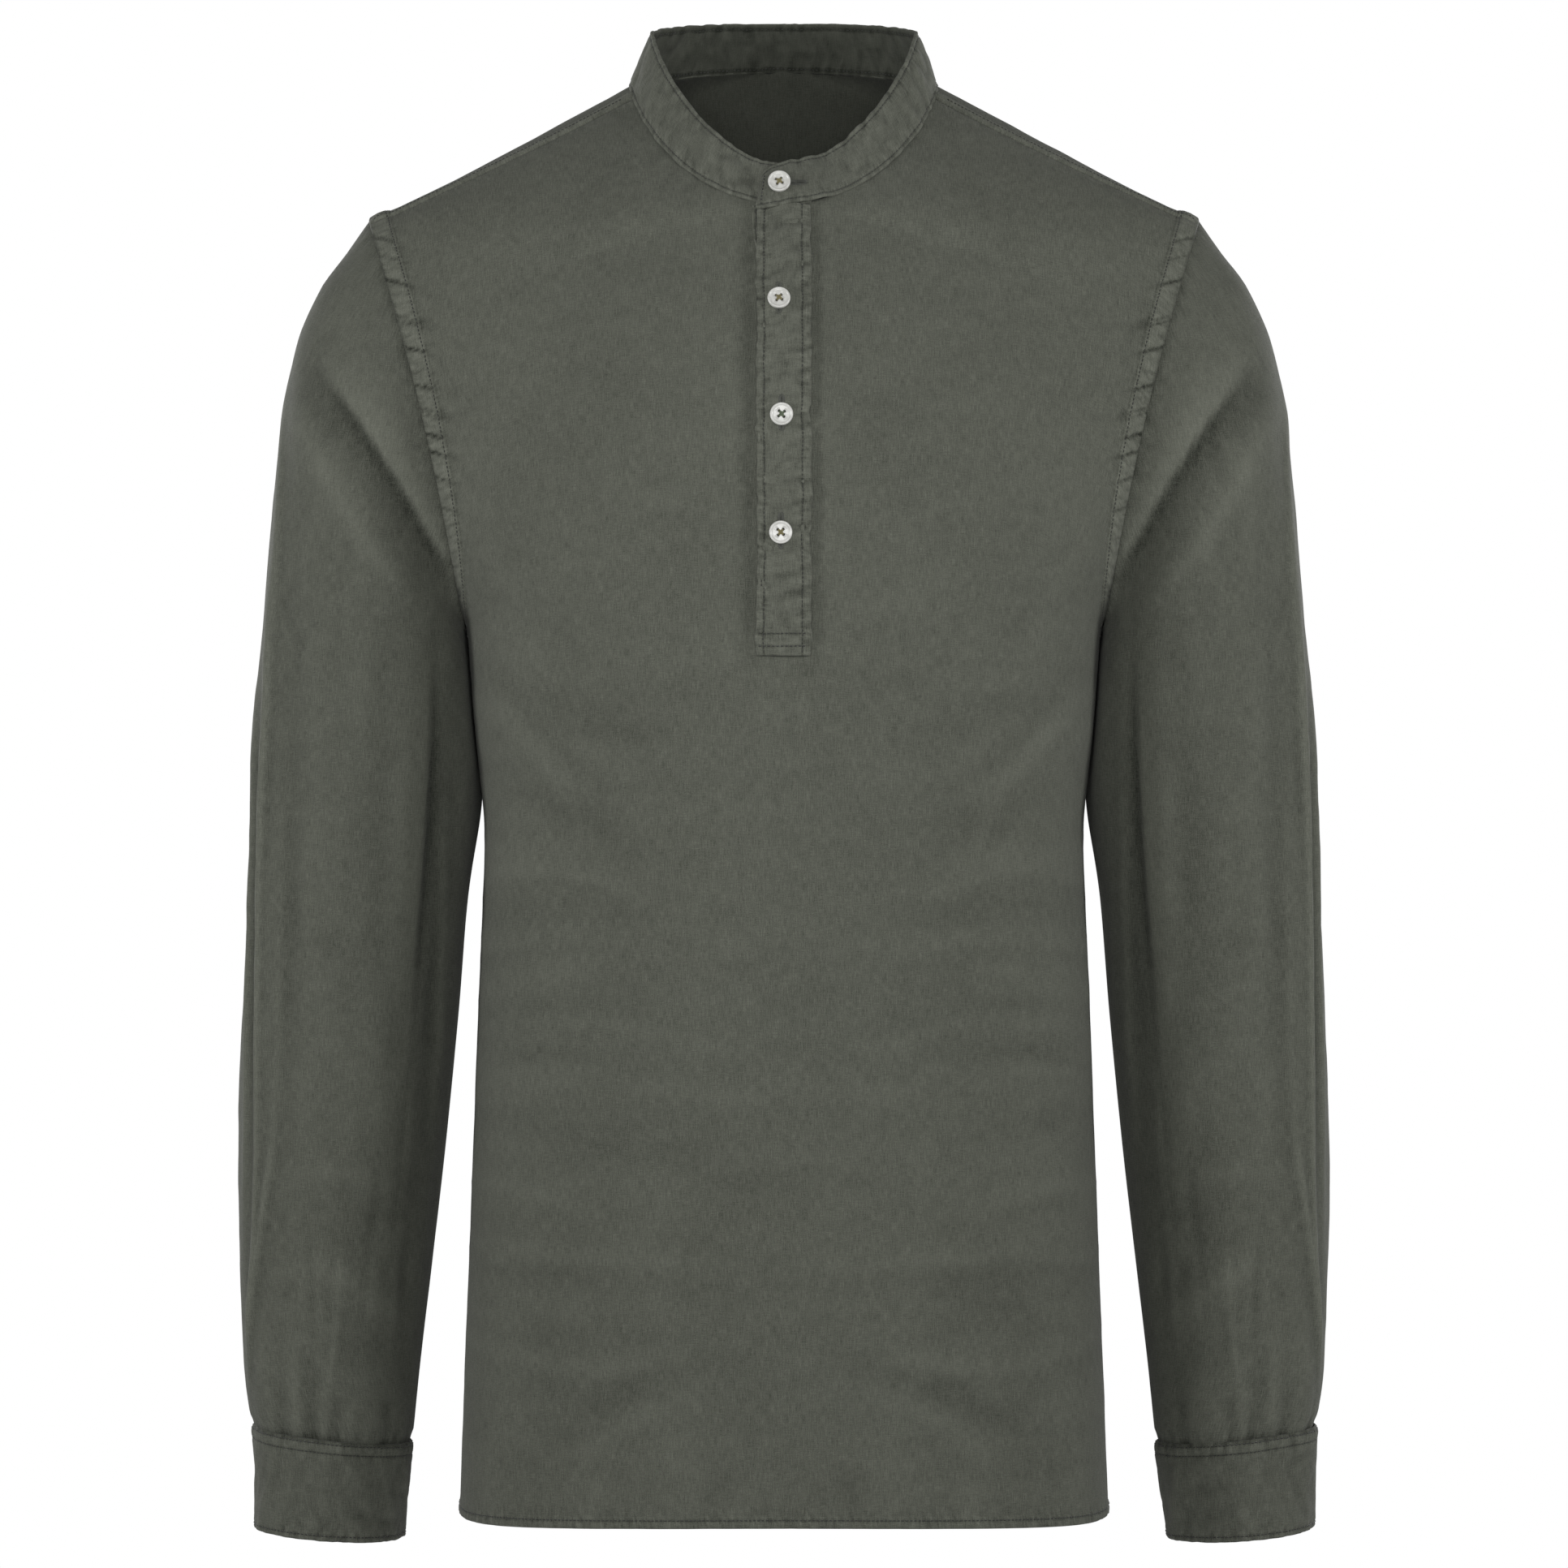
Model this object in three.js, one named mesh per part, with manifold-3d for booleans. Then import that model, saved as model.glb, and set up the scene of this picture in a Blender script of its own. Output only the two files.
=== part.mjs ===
// Mandarin collar shirt, worn and filled out, built from the pieces that a maker cuts and sews.
//
// Millimetres, +Z up, +X towards the wearer's left, the front faces -Y. The origin lies between the
// two neck points of the shoulders, at their height, where the wearer's shoulders carry the shirt.
// Every piece is a wall of cloth: a net of points on its outer face, thickened inwards.

import * as THREE from 'three';
import { mergeVertices } from 'three/addons/utils/BufferGeometryUtils.js';
import Module from 'manifold-3d';

const wasm = await Module();
wasm.setup();

// ---------------------------------------------------------------- driving dimensions
const CLOTH = 1.5; // wall of the body and the sleeves
const BAND = 2.0; // folded, interlined strips: collar, cuffs, plackets
const SEAM_GAP = 0.35; // between pieces that meet edge to edge
const LAY_GAP = 0.3; // between pieces that lie on each other
const SLEEVE_CLEARANCE = 0.8; // a sleeve against the body that it hangs on
const SLEEVE_SOFTNESS = 1.2; // how softly a sleeve turns where it comes to lie on the body

const HEM_HEIGHT = -731;
const UNDERARM_HEIGHT = -283;

// Level sections of the body. side: half width at the side seams; full: how far the section stays
// flat before it turns, 1 for a square corner; drop: how much lower it lies at the side seams.
const BODY_SECTIONS = [
  { level: HEM_HEIGHT, side: 167.2, full: 0.8, drop: 4.5 },
  { level: -675, side: 165.3, full: 0.75, drop: 2 },
  { level: -620, side: 163.2, full: 0.7, drop: 0 },
  { level: -553, side: 160.8, full: 0.68, drop: 0 },
  { level: -485, side: 158.3, full: 0.66, drop: 0 },
  { level: -430, side: 156.0, full: 0.65, drop: 0 },
  { level: -385, side: 154.8, full: 0.65, drop: 0 },
  { level: -336, side: 159.4, full: 0.65, drop: 0 },
  { level: UNDERARM_HEIGHT, side: 163.5, full: 0.65, drop: 0 },
];

// Depth of the body on its centre lines.
const CENTRE_FRONT = [
  { level: HEM_HEIGHT, depth: -124 },
  { level: -620, depth: -121 },
  { level: -485, depth: -119 },
  { level: -385, depth: -121 },
  { level: -336, depth: -126 },
  { level: UNDERARM_HEIGHT, depth: -130 },
  { level: -235, depth: -132 },
  { level: -190, depth: -129 },
  { level: -150, depth: -121 },
  { level: -110, depth: -105 },
  { level: -69.5, depth: -82 },
];
const CENTRE_BACK = [
  { level: HEM_HEIGHT, depth: 122 },
  { level: -620, depth: 116 },
  { level: -485, depth: 109 },
  { level: -385, depth: 107 },
  { level: UNDERARM_HEIGHT, depth: 118 },
  { level: -230, depth: 122 },
  { level: -180, depth: 121 },
  { level: -130, depth: 114 },
  { level: -80, depth: 100 },
  { level: -33, depth: 80 },
  { level: 14, depth: 58 },
];

// Neck seam: where the collar stands on the body.
const NECK = { halfWidth: 79, centreY: 3, front: 85, back: 55, frontDrop: 69.5, backRise: 14 };
const NECK_DROP_POWER = 1.35;
const SHOULDER_SEAM_NECK_ANGLE = 78; // from centre front

// Armhole seam, by the angle from its top: positive down the front, negative down the back.
const ARMHOLE = {
  topX: 214,
  bottomX: 163.5,
  topZ: -70,
  bottomZ: UNDERARM_HEIGHT,
  frontDepth: 60,
  backDepth: 64,
  topY: 4,
  frontInset: 6,
  backInset: 3,
};
const SHOULDER_SEAM_ARM_ANGLE = 16; // the seam lies forward of the ridge
const ARM_BAND_WIDTH = 9; // felled seam allowance, topstitched on the body side
const ARM_BAND_RISE = 0.9;
const ARM_BAND_FADE = { from: 118, to: 150 }; // angles on the armhole over which the strip dies away

// Rows of the front above the underarm. arm: angle on the armhole; level: height on the centre line,
// or neck: angle on the neck seam from centre front. inX..inZ: how the row leaves the centre or the
// neck; outX..outZ: how it arrives at the armhole.
const CHEST_ROWS = [
  { arm: 150, level: -235, inX: 103, inY: 0, inZ: -2, outX: 14, outY: 60, outZ: 0 },
  { arm: 125, level: -190, inX: 98, inY: 0, inZ: -4, outX: 26, outY: 48, outZ: 0 },
  { arm: 100, level: -150, inX: 92, inY: 0, inZ: -6, outX: 36, outY: 37, outZ: -2 },
  { arm: 80, level: -110, inX: 84, inY: -2, inZ: -9, outX: 42, outY: 31, outZ: -5 },
  { arm: 62, neck: 0, inX: 70, inY: -8, inZ: -11, outX: 44, outY: 26, outZ: -9 },
  { arm: 47, neck: 26, inX: 54, inY: -15, inZ: -15, outX: 41, outY: 21, outZ: -13 },
  { arm: 32, neck: 52, inX: 44, inY: -16, inZ: -21, outX: 38, outY: 18, outZ: -17 },
];
const SEAM_ROW = {
  arm: SHOULDER_SEAM_ARM_ANGLE,
  neck: SHOULDER_SEAM_NECK_ANGLE,
  inX: 40,
  inY: -13,
  inZ: -24,
  outX: 38,
  outY: 15,
  outZ: -16,
};
const UPPER_BACK_ROWS = [
  { arm: -150, level: -230, inX: 104, inY: 0, inZ: -1, outX: 12, outY: -60, outZ: 0 },
  { arm: -124, level: -180, inX: 102, inY: 0, inZ: -3, outX: 22, outY: -50, outZ: 0 },
  { arm: -100, level: -130, inX: 98, inY: 0, inZ: -6, outX: 32, outY: -42, outZ: -4 },
  { arm: -80, level: -80, inX: 92, inY: 1, inZ: -9, outX: 40, outY: -36, outZ: -12 },
  { arm: -62, level: -33, inX: 82, inY: 4, inZ: -12, outX: 46, outY: -28, outZ: -20 },
  { arm: -46, neck: 180, inX: 68, inY: 7, inZ: -12, outX: 48, outY: -20, outZ: -26 },
  { arm: -32, neck: 150, inX: 50, inY: 4, inZ: -15, outX: 46, outY: -12, outZ: -26 },
  { arm: -16, neck: 120, inX: 44, inY: 2, inZ: -22, outX: 42, outY: -5, outZ: -20 },
  { arm: 0, neck: 96, inX: 42, inY: -3, inZ: -24, outX: 40, outY: 4, outZ: -18 },
];

// Front opening: the half placket, and the notch that it closes.
const PLACKET = {
  bottom: -298,
  left: -13,
  right: 13,
  underLeft: -14.6,
  underRight: 10.8,
};
const NOTCH_LEFT = PLACKET.underLeft - SEAM_GAP;
const NOTCH_RIGHT = PLACKET.underRight + SEAM_GAP;

// Rings of a sleeve, down from the armhole: its outer and its inner edge seen from the front,
// the middle of its depth and its half depth.
const SLEEVE_RINGS = [
  { outX: 214, outZ: -70, inX: 163.5, inZ: -283, midY: 2, half: 62 },
  { outX: 225.5, outZ: -86, inX: 163, inZ: -285, midY: 4, half: 63 },
  { outX: 240.5, outZ: -106, inX: 162.5, inZ: -288, midY: 6, half: 65 },
  { outX: 253, outZ: -135, inX: 162, inZ: -292, midY: 8, half: 67 },
  { outX: 260.5, outZ: -180, inX: 160, inZ: -301, midY: 11, half: 68 },
  { outX: 266, outZ: -230, inX: 157, inZ: -318, midY: 14, half: 67 },
  { outX: 270.7, outZ: -285, inX: 154.5, inZ: -342, midY: 16, half: 65 },
  { outX: 274.9, outZ: -345, inX: 157.5, inZ: -376, midY: 16, half: 63 },
  { outX: 278, outZ: -410, inX: 164.2, inZ: -420, midY: 15, half: 60.5 },
  { outX: 281, outZ: -480, inX: 169, inZ: -480, midY: 13, half: 58 },
  { outX: 283, outZ: -550, inX: 175.7, inZ: -550, midY: 10, half: 55 },
  { outX: 282, outZ: -610, inX: 182.5, inZ: -610, midY: 7, half: 51.5 },
  { outX: 279.5, outZ: -660, inX: 188.5, inZ: -662, midY: 4, half: 47 },
  { outX: 275.5, outZ: -693, inX: 192.5, inZ: -702, midY: 3, half: 41.5 },
];

// Rings of a cuff, top to bottom.
const CUFF_RINGS = [
  { outX: 276.4, outZ: -693.6, inX: 191.6, inZ: -702.6, midY: 3, half: 42.4 },
  { outX: 275.0, outZ: -708, inX: 193.4, inZ: -716, midY: 2, half: 41 },
  { outX: 274.2, outZ: -724, inX: 195.0, inZ: -731, midY: 1, half: 40 },
  { outX: 274.4, outZ: -745.8, inX: 196.8, inZ: -751.3, midY: 0, half: 40 },
];

// Collar: a straight band whose ends lap at the centre front, the wearer's left end on top.
const COLLAR = {
  front: { height: 27, lean: 36 }, // lean: degrees from upright, towards the neck
  side: { height: 29.5, lean: 20 },
  back: { height: 24.5, lean: 14 },
  endAngle: 9.5, // how far round the neck each end runs past the centre front
  lift: 2.6, // of the upper end over the lower one
  liftFrom: 32, // angles from the centre front between which it rises to that
  liftTo: 11,
  liftHang: 0.75, // past this share of the lift the upper end's base reaches down again
  fallFrom: 4, // the upper end goes on falling from this distance before the centre front
  fall: 0.27,
  fallForward: 0.6, // of each unit of its fall
  cornerRadius: 9,
  bulge: 0.7,
};

const BUTTON = { radius: 5.75, thickness: 2.4, rimWidth: 1.1, dish: 0.5, holePitch: 2.6, holeRadius: 0.8 };
// Button places down the centre front: height and offset from the centre line.
const BUTTON_PLACES = [
  { name: 'button_1', level: -121.4, x: -2.4 },
  { name: 'button_2', level: -179.3, x: -1.2 },
  { name: 'button_3', level: -237.5, x: -1.6 },
];
const COLLAR_BUTTON = { angle: -1.8, height: 0.42 };

// ---------------------------------------------------------------- small maths
const radians = THREE.MathUtils.degToRad;
const clamp = THREE.MathUtils.clamp;
const smoothstep = THREE.MathUtils.smoothstep;
const vec = (x, y, z) => new THREE.Vector3(x, y, z);
const range = (count) => Array.from({ length: count }, (_, index) => index);
const spread = (from, to, steps) => range(steps + 1).map((i) => from + ((to - from) * i) / steps);

/** Cubic through a table's column, by row number; beyond its ends the table goes on straight. */
function columnAt(rows, column, at) {
  const last = rows.length - 1;
  const row = clamp(Math.floor(at), 0, last - 1);
  const t = at - row;
  const value = (index) => {
    if (index < 0) return 2 * rows[0][column] - rows[1][column];
    if (index > last) return 2 * rows[last][column] - rows[last - 1][column];
    return rows[index][column];
  };
  const [a, b, c, d] = [value(row - 1), value(row), value(row + 1), value(row + 2)];
  return b + 0.5 * t * (c - a + t * (2 * a - 5 * b + 4 * c - d + t * (3 * (b - c) + d - a)));
}

/** The row number at which a rising column has a value. */
function rowOf(rows, column, value) {
  const next = rows.findIndex((row) => row[column] >= value);
  if (next < 0) return rows.length - 1;
  if (next === 0) return 0;
  const from = rows[next - 1][column];
  return next - 1 + (value - from) / (rows[next][column] - from);
}

const depthAt = (line, level) => columnAt(line, 'depth', rowOf(line, 'level', level));

/** Points of a cubic Bezier arc. */
function bezier(p0, p1, p2, p3, t) {
  return new THREE.CubicBezierCurve3(p0, p1, p2, p3).getPoint(t);
}

// ---------------------------------------------------------------- seams of the body
function neckSeam(angle) {
  const turn = Math.cos(radians(angle));
  const reach = turn > 0 ? NECK.front : NECK.back;
  const rise = turn > 0 ? -NECK.frontDrop : NECK.backRise;
  return vec(
    NECK.halfWidth * Math.sin(radians(angle)),
    NECK.centreY - reach * turn,
    rise * Math.abs(turn) ** NECK_DROP_POWER,
  );
}

function armholeSeam(angle) {
  const turn = Math.cos(radians(angle));
  const swing = Math.sin(radians(angle));
  const down = (1 - turn) / 2;
  const inset = swing > 0 ? ARMHOLE.frontInset : ARMHOLE.backInset;
  const depth = swing > 0 ? ARMHOLE.frontDepth : ARMHOLE.backDepth;
  return vec(
    THREE.MathUtils.lerp(ARMHOLE.topX, ARMHOLE.bottomX, down) - inset * swing * swing,
    ARMHOLE.topY * (1 - down) - depth * swing,
    THREE.MathUtils.lerp(ARMHOLE.topZ, ARMHOLE.bottomZ, down),
  );
}

/** Rows of one half panel from the hem to the shoulder seam, with handles at both ends. */
function panelRows(centreLine, upperRows) {
  const facing = Math.sign(centreLine[0].depth);
  const lower = BODY_SECTIONS.map(({ level, side, full }) => ({
    level,
    inX: full * side,
    inY: 0,
    inZ: 0,
    outX: 0,
    outY: -facing * full * Math.abs(depthAt(centreLine, level)),
    outZ: 0,
  }));
  return [...lower, ...upperRows, SEAM_ROW];
}

const UNDERARM_ROW = BODY_SECTIONS.length - 1;

/** A half panel: point(row, t) runs from the centre or neck (t = 0) to the side or armhole (t = 1). */
class HalfPanel {
  constructor(centreLine, upperRows) {
    this.centreLine = centreLine;
    this.rows = panelRows(centreLine, upperRows);
    this.neckRow = this.rows.findIndex((row) => row.neck !== undefined);
    this.topRow = this.rows.length - 1;
    this.centreLevels = this.rows.slice(0, this.neckRow).map((row) => row.level);
    this.centreLevels.push(centreLine.at(-1).level);
    this.armAngles = this.rows.map((row) => row.arm ?? 180 * Math.sign(upperRows[0].arm));
  }

  between(values, row) {
    const index = Math.min(Math.floor(row), values.length - 2);
    return THREE.MathUtils.lerp(values[index], values[index + 1], row - index);
  }

  inner(row) {
    if (row >= this.neckRow) return neckSeam(this.neckAngle(row));
    const level = this.between(this.centreLevels, row);
    return vec(0, depthAt(this.centreLine, level), level);
  }

  outer(row) {
    if (row > UNDERARM_ROW) return armholeSeam(this.between(this.armAngles, row));
    const [side, level, drop] = ['side', 'level', 'drop'].map((column) => columnAt(BODY_SECTIONS, column, row));
    return vec(side, 0, level - drop);
  }

  point(row, t) {
    const from = this.inner(row);
    const to = this.outer(row);
    const handle = (end) => vec(...['X', 'Y', 'Z'].map((axis) => columnAt(this.rows, end + axis, row)));
    return bezier(from, from.clone().add(handle('in')), to.clone().sub(handle('out')), to, t);
  }

  neckAngle(row) {
    return this.between(this.rows.slice(this.neckRow).map((each) => each.neck), row - this.neckRow);
  }

  rowAtLevel(level) {
    const next = this.centreLevels.findIndex((each) => each >= level);
    if (next < 0) return this.neckRow;
    const [from, to] = [this.centreLevels[next - 1], this.centreLevels[next]];
    return next - 1 + (level - from) / (to - from);
  }

  lengthOf(row) {
    const points = spread(0, 1, 24).map((t) => this.point(row, t));
    return points.slice(1).reduce((sum, point, i) => sum + point.distanceTo(points[i]), 0);
  }

  /** The share of a row at which it reaches a given x. */
  shareAtX(row, x) {
    let [low, high] = [0, 1];
    for (let step = 0; step < 24; step += 1) {
      const middle = (low + high) / 2;
      if (this.point(row, middle).x < x) low = middle;
      else high = middle;
    }
    return low;
  }
}

const FRONT = new HalfPanel(CENTRE_FRONT, CHEST_ROWS);
const BACK = new HalfPanel(CENTRE_BACK, UPPER_BACK_ROWS);

/** Half width of the body at a height below the underarm and a depth. */
function bodyReach(y, z) {
  const level = clamp(z, HEM_HEIGHT, UNDERARM_HEIGHT);
  const row = rowOf(BODY_SECTIONS, 'level', level);
  const panel = y < 0 ? FRONT : BACK;
  let [low, high] = [0, 1];
  for (let step = 0; step < 20; step += 1) {
    const middle = (low + high) / 2;
    if (Math.abs(panel.point(row, middle).y) > Math.abs(y)) low = middle;
    else high = middle;
  }
  return panel.point(row, high).x;
}

// ---------------------------------------------------------------- folds
const FOLD_CLEAR = 4; // folds keep this far from the side seams and armholes
const FOLD_FULL = 30; // and have their full depth from here on

// A fold is a soft trough (negative depth) or ridge along a line seen from the front or the back:
// from and to are places across (from the centre line) and up. It fades at both ends.
const FRONT_FOLDS = [
  { from: [163, -300], to: [62, -345], width: 13, depth: -1.8 },
  { from: [160, -350], to: [75, -392], width: 12, depth: -2.2 },
  { from: [156, -392], to: [85, -404], width: 11, depth: 1.7 },
  { from: [158, -425], to: [60, -428], width: 13, depth: -2.2 },
  { from: [160, -470], to: [95, -452], width: 12, depth: 1.5 },
  { from: [160, -520], to: [80, -548], width: 15, depth: -1.8 },
  { from: [165, -612], to: [95, -600], width: 14, depth: -1.8 },
  { from: [52, -740], to: [66, -560], width: 22, depth: 2.0 },
  { from: [128, -740], to: [118, -600], width: 18, depth: -2.2 },
  { from: [30, -186], to: [118, -140], width: 15, depth: -1.4 },
];
const BACK_FOLDS = [
  { from: [163, -290], to: [70, -360], width: 14, depth: -2.0 },
  { from: [158, -370], to: [60, -400], width: 15, depth: -2.4 },
  { from: [158, -450], to: [80, -430], width: 15, depth: 1.8 },
  { from: [30, -740], to: [40, -480], width: 24, depth: 2.4 },
  { from: [95, -740], to: [85, -520], width: 22, depth: -2.6 },
  { from: [150, -740], to: [140, -600], width: 18, depth: 2.0 },
  { from: [165, -150], to: [110, -260], width: 17, depth: -2.4 },
];
const SLEEVE_FRONT_FOLDS = [
  { from: [238, -155], to: [164, -258], width: 11, depth: -5.5 },
  { from: [228, -118], to: [170, -215], width: 15, depth: 2.2 },
  { from: [262, -160], to: [176, -292], width: 16, depth: 3.0 },
  { from: [262, -190], to: [268, -560], width: 7, depth: 1.8 },
  { from: [250, -260], to: [254, -520], width: 8, depth: -1.6 },
  { from: [172, -330], to: [186, -590], width: 9, depth: -3.4 },
  { from: [190, -300], to: [196, -470], width: 10, depth: 2.0 },
  { from: [176, -560], to: [232, -606], width: 11, depth: -2.4 },
  { from: [196, -640], to: [240, -600], width: 11, depth: 1.6 },
  { from: [268, -640], to: [266, -715], width: 6, depth: 1.8 },
  { from: [243, -655], to: [240, -715], width: 7, depth: -1.8 },
  { from: [212, -660], to: [214, -715], width: 7, depth: 1.4 },
];
const SLEEVE_BACK_FOLDS = [
  { from: [240, -150], to: [168, -240], width: 14, depth: -4.0 },
  { from: [256, -210], to: [262, -540], width: 9, depth: 2.0 },
  { from: [176, -330], to: [190, -580], width: 11, depth: -3.0 },
  { from: [200, -300], to: [206, -500], width: 12, depth: 2.2 },
  { from: [255, -480], to: [190, -430], width: 13, depth: -2.2 },
  { from: [232, -640], to: [230, -715], width: 8, depth: 1.8 },
];

function foldHeight(folds, x, z) {
  return folds.reduce((sum, { from, to, width, depth }) => {
    const run = [to[0] - from[0], to[1] - from[1]];
    const length = Math.hypot(...run);
    const [dx, dz] = [Math.abs(x) - from[0], z - from[1]];
    const along = (dx * run[0] + dz * run[1]) / length;
    const across = (dx * run[1] - dz * run[0]) / length;
    const fade = Math.exp(-(((2 * along) / length - 1) ** 4));
    return sum + depth * fade * Math.exp(-((across / width) ** 2));
  }, 0);
}

// ---------------------------------------------------------------- walls of cloth
/** A net of points on a piece's outer face, with the quads between them. */
class Net {
  constructor() {
    this.points = [];
    this.quads = [];
  }

  /** raise: how far the outer face stands out there; fold: how far both faces are pushed. */
  add(at, { raise = 0, fold = 0 } = {}) {
    this.points.push({ at, raise, fold });
    return this.points.length - 1;
  }

  /** Joins rows of vertex numbers by quads. A closed net joins each row's end to its start. */
  join(rows, closed = false) {
    for (const row of range(rows.length - 1)) {
      const width = rows[row].length;
      for (const column of range(closed ? width : width - 1)) {
        const next = (column + 1) % width;
        this.quads.push([rows[row][column], rows[row][next], rows[row + 1][next], rows[row + 1][column]]);
      }
    }
  }

  /** Works out the outward direction at each vertex, weighted by area. */
  face() {
    for (const point of this.points) point.outward = vec(0, 0, 0);
    for (const corners of this.quads) {
      const [a, b, c, d] = corners.map((index) => this.points[index].at);
      const direction = c.clone().sub(a).cross(d.clone().sub(b));
      for (const index of corners) this.points[index].outward.add(direction);
    }
    for (const point of this.points) point.outward.normalize();
    return this;
  }

  /** Pushes the vertices by their folds. */
  crease() {
    this.face();
    for (const point of this.points) point.at.addScaledVector(point.outward, point.fold);
    return this.face();
  }

  /** Draws an edge back from its seam, towards the vertices beside it. */
  drawBack(edge, beside, gap) {
    edge.forEach((index, i) => {
      const { at } = this.points[index];
      at.addScaledVector(this.points[beside[i]].at.clone().sub(at).normalize(), gap);
    });
  }

  /** The closed solid: the outer face, the inner face and the rims that join them. */
  solid(wall) {
    const count = this.points.length;
    const outer = this.points.map(({ at, outward, raise }) => at.clone().addScaledVector(outward, raise));
    const inner = this.points.map(({ at, outward }) => at.clone().addScaledVector(outward, -wall));
    const triangles = [];
    const edges = new Map();
    for (const corners of this.quads) {
      const [a, b, c, d] = corners;
      triangles.push([a, b, c], [a, c, d]);
      triangles.push([count + c, count + b, count + a], [count + d, count + c, count + a]);
      corners.forEach((from, i) => edges.set(`${from}-${corners[(i + 1) % 4]}`, [from, corners[(i + 1) % 4]]));
    }
    for (const [from, to] of edges.values()) {
      if (edges.has(`${to}-${from}`)) continue;
      triangles.push([to, from, count + from], [to, count + from, count + to]);
    }
    const geometry = new THREE.BufferGeometry();
    const positions = [...outer, ...inner].flatMap((point) => point.toArray());
    geometry.setAttribute('position', new THREE.Float32BufferAttribute(positions, 3));
    geometry.setIndex(triangles.flat());
    geometry.computeVertexNormals();
    return geometry;
  }
}

/** Gives vertices of two nets that share a seam one outward direction, so that their rims are parallel. */
function shareDirections(netA, edgeA, netB, edgeB) {
  edgeA.forEach((index, i) => {
    const a = netA.points[index];
    const b = netB.points[edgeB[i]];
    const agreement = smoothstep(a.outward.dot(b.outward), -0.2, 0.6);
    const shared = a.outward.clone().add(b.outward).normalize();
    a.outward.lerp(shared, agreement).normalize();
    b.outward.lerp(shared, agreement).normalize();
  });
}

const mirrored = (point) => vec(-point.x, point.y, point.z);
const sided = (point, side) => (side < 0 ? mirrored(point) : point);

// ---------------------------------------------------------------- body panels
const HALF_COLUMNS = 10;
const LOWER_ROWS = spread(0, UNDERARM_ROW, 13);
const panelSteps = (panel, underNeck, alongNeck) => [
  ...LOWER_ROWS,
  ...spread(UNDERARM_ROW, panel.neckRow, underNeck).slice(1),
  ...spread(panel.neckRow, panel.topRow, alongNeck).slice(1),
];
const FRONT_STEPS = panelSteps(FRONT, 8, 6);
const BACK_STEPS = panelSteps(BACK, 8, 8);
const UNDERARM_STEP = LOWER_ROWS.length - 1;
const STRIP_EDGE = 1.2; // width of the step at the felled strip's edge

/** How high the felled strip stands: it dies away towards the underarm. */
function stripRise(arm) {
  return ARM_BAND_RISE * (1 - smoothstep(Math.abs(arm), ARM_BAND_FADE.from, ARM_BAND_FADE.to));
}

/** One half of a body panel as rows of vertex numbers, from the hem to the shoulder seam. */
function halfPanel(net, panel, steps, folds, side, startOf, centre = []) {
  return steps.map((row, step) => {
    const length = panel.lengthOf(row);
    const strip = 1 - ARM_BAND_WIDTH / length;
    const shares = [...spread(startOf(row), strip - STRIP_EDGE / length, HALF_COLUMNS), strip, 1];
    return shares.map((share, column) => {
      if (column === 0 && centre[step] !== undefined) return centre[step];
      const point = sided(panel.point(row, share), side);
      const onStrip = share >= strip && row > UNDERARM_ROW;
      return net.add(point, {
        raise: onStrip ? stripRise(panel.between(panel.armAngles, row)) : 0,
        fold: foldHeight(folds, point.x, point.z) * smoothstep(length * (1 - share), FOLD_CLEAR, FOLD_FULL),
      });
    });
  });
}

function frontPanel() {
  const net = new Net();
  const notchEdge = { [-1]: -NOTCH_LEFT, [1]: NOTCH_RIGHT };
  const [right, left] = [-1, 1].map((side) => {
    const startOf = (row) => (row <= FRONT.neckRow ? FRONT.shareAtX(row, notchEdge[side]) : 0);
    return halfPanel(net, FRONT, FRONT_STEPS, FRONT_FOLDS, side, startOf);
  });
  net.join(right.map((row) => [...row].reverse()));
  net.join(left);
  const middle = LOWER_ROWS.map((row) => {
    const point = FRONT.point(row, 0);
    return net.add(point, { fold: foldHeight(FRONT_FOLDS, 0, point.z) });
  });
  net.join(middle.map((vertex, step) => [right[step][0], vertex, left[step][0]]));
  return { net: net.crease(), right, left };
}

function backPanel() {
  const net = new Net();
  const left = halfPanel(net, BACK, BACK_STEPS, BACK_FOLDS, 1, () => 0);
  const centre = BACK_STEPS.map((row, step) => (row <= BACK.neckRow ? left[step][0] : undefined));
  const right = halfPanel(net, BACK, BACK_STEPS, BACK_FOLDS, -1, () => 0, centre);
  net.join(left.map((row) => [...row].reverse()));
  net.join(right);
  return { net: net.crease(), right, left };
}

const edgeOf = (rows, from = 0, to = rows.length) => rows.slice(from, to).map((row) => row.at(-1));
const besideEdge = (rows, from = 0, to = rows.length) => rows.slice(from, to).map((row) => row.at(-2));

// ---------------------------------------------------------------- sleeves and cuffs
const FRONT_ARM_ANGLES = FRONT_STEPS.slice(UNDERARM_STEP).map((row) => FRONT.between(FRONT.armAngles, row));
const BACK_ARM_ANGLES = BACK_STEPS.slice(UNDERARM_STEP).map((row) => BACK.between(BACK.armAngles, row));
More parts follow.
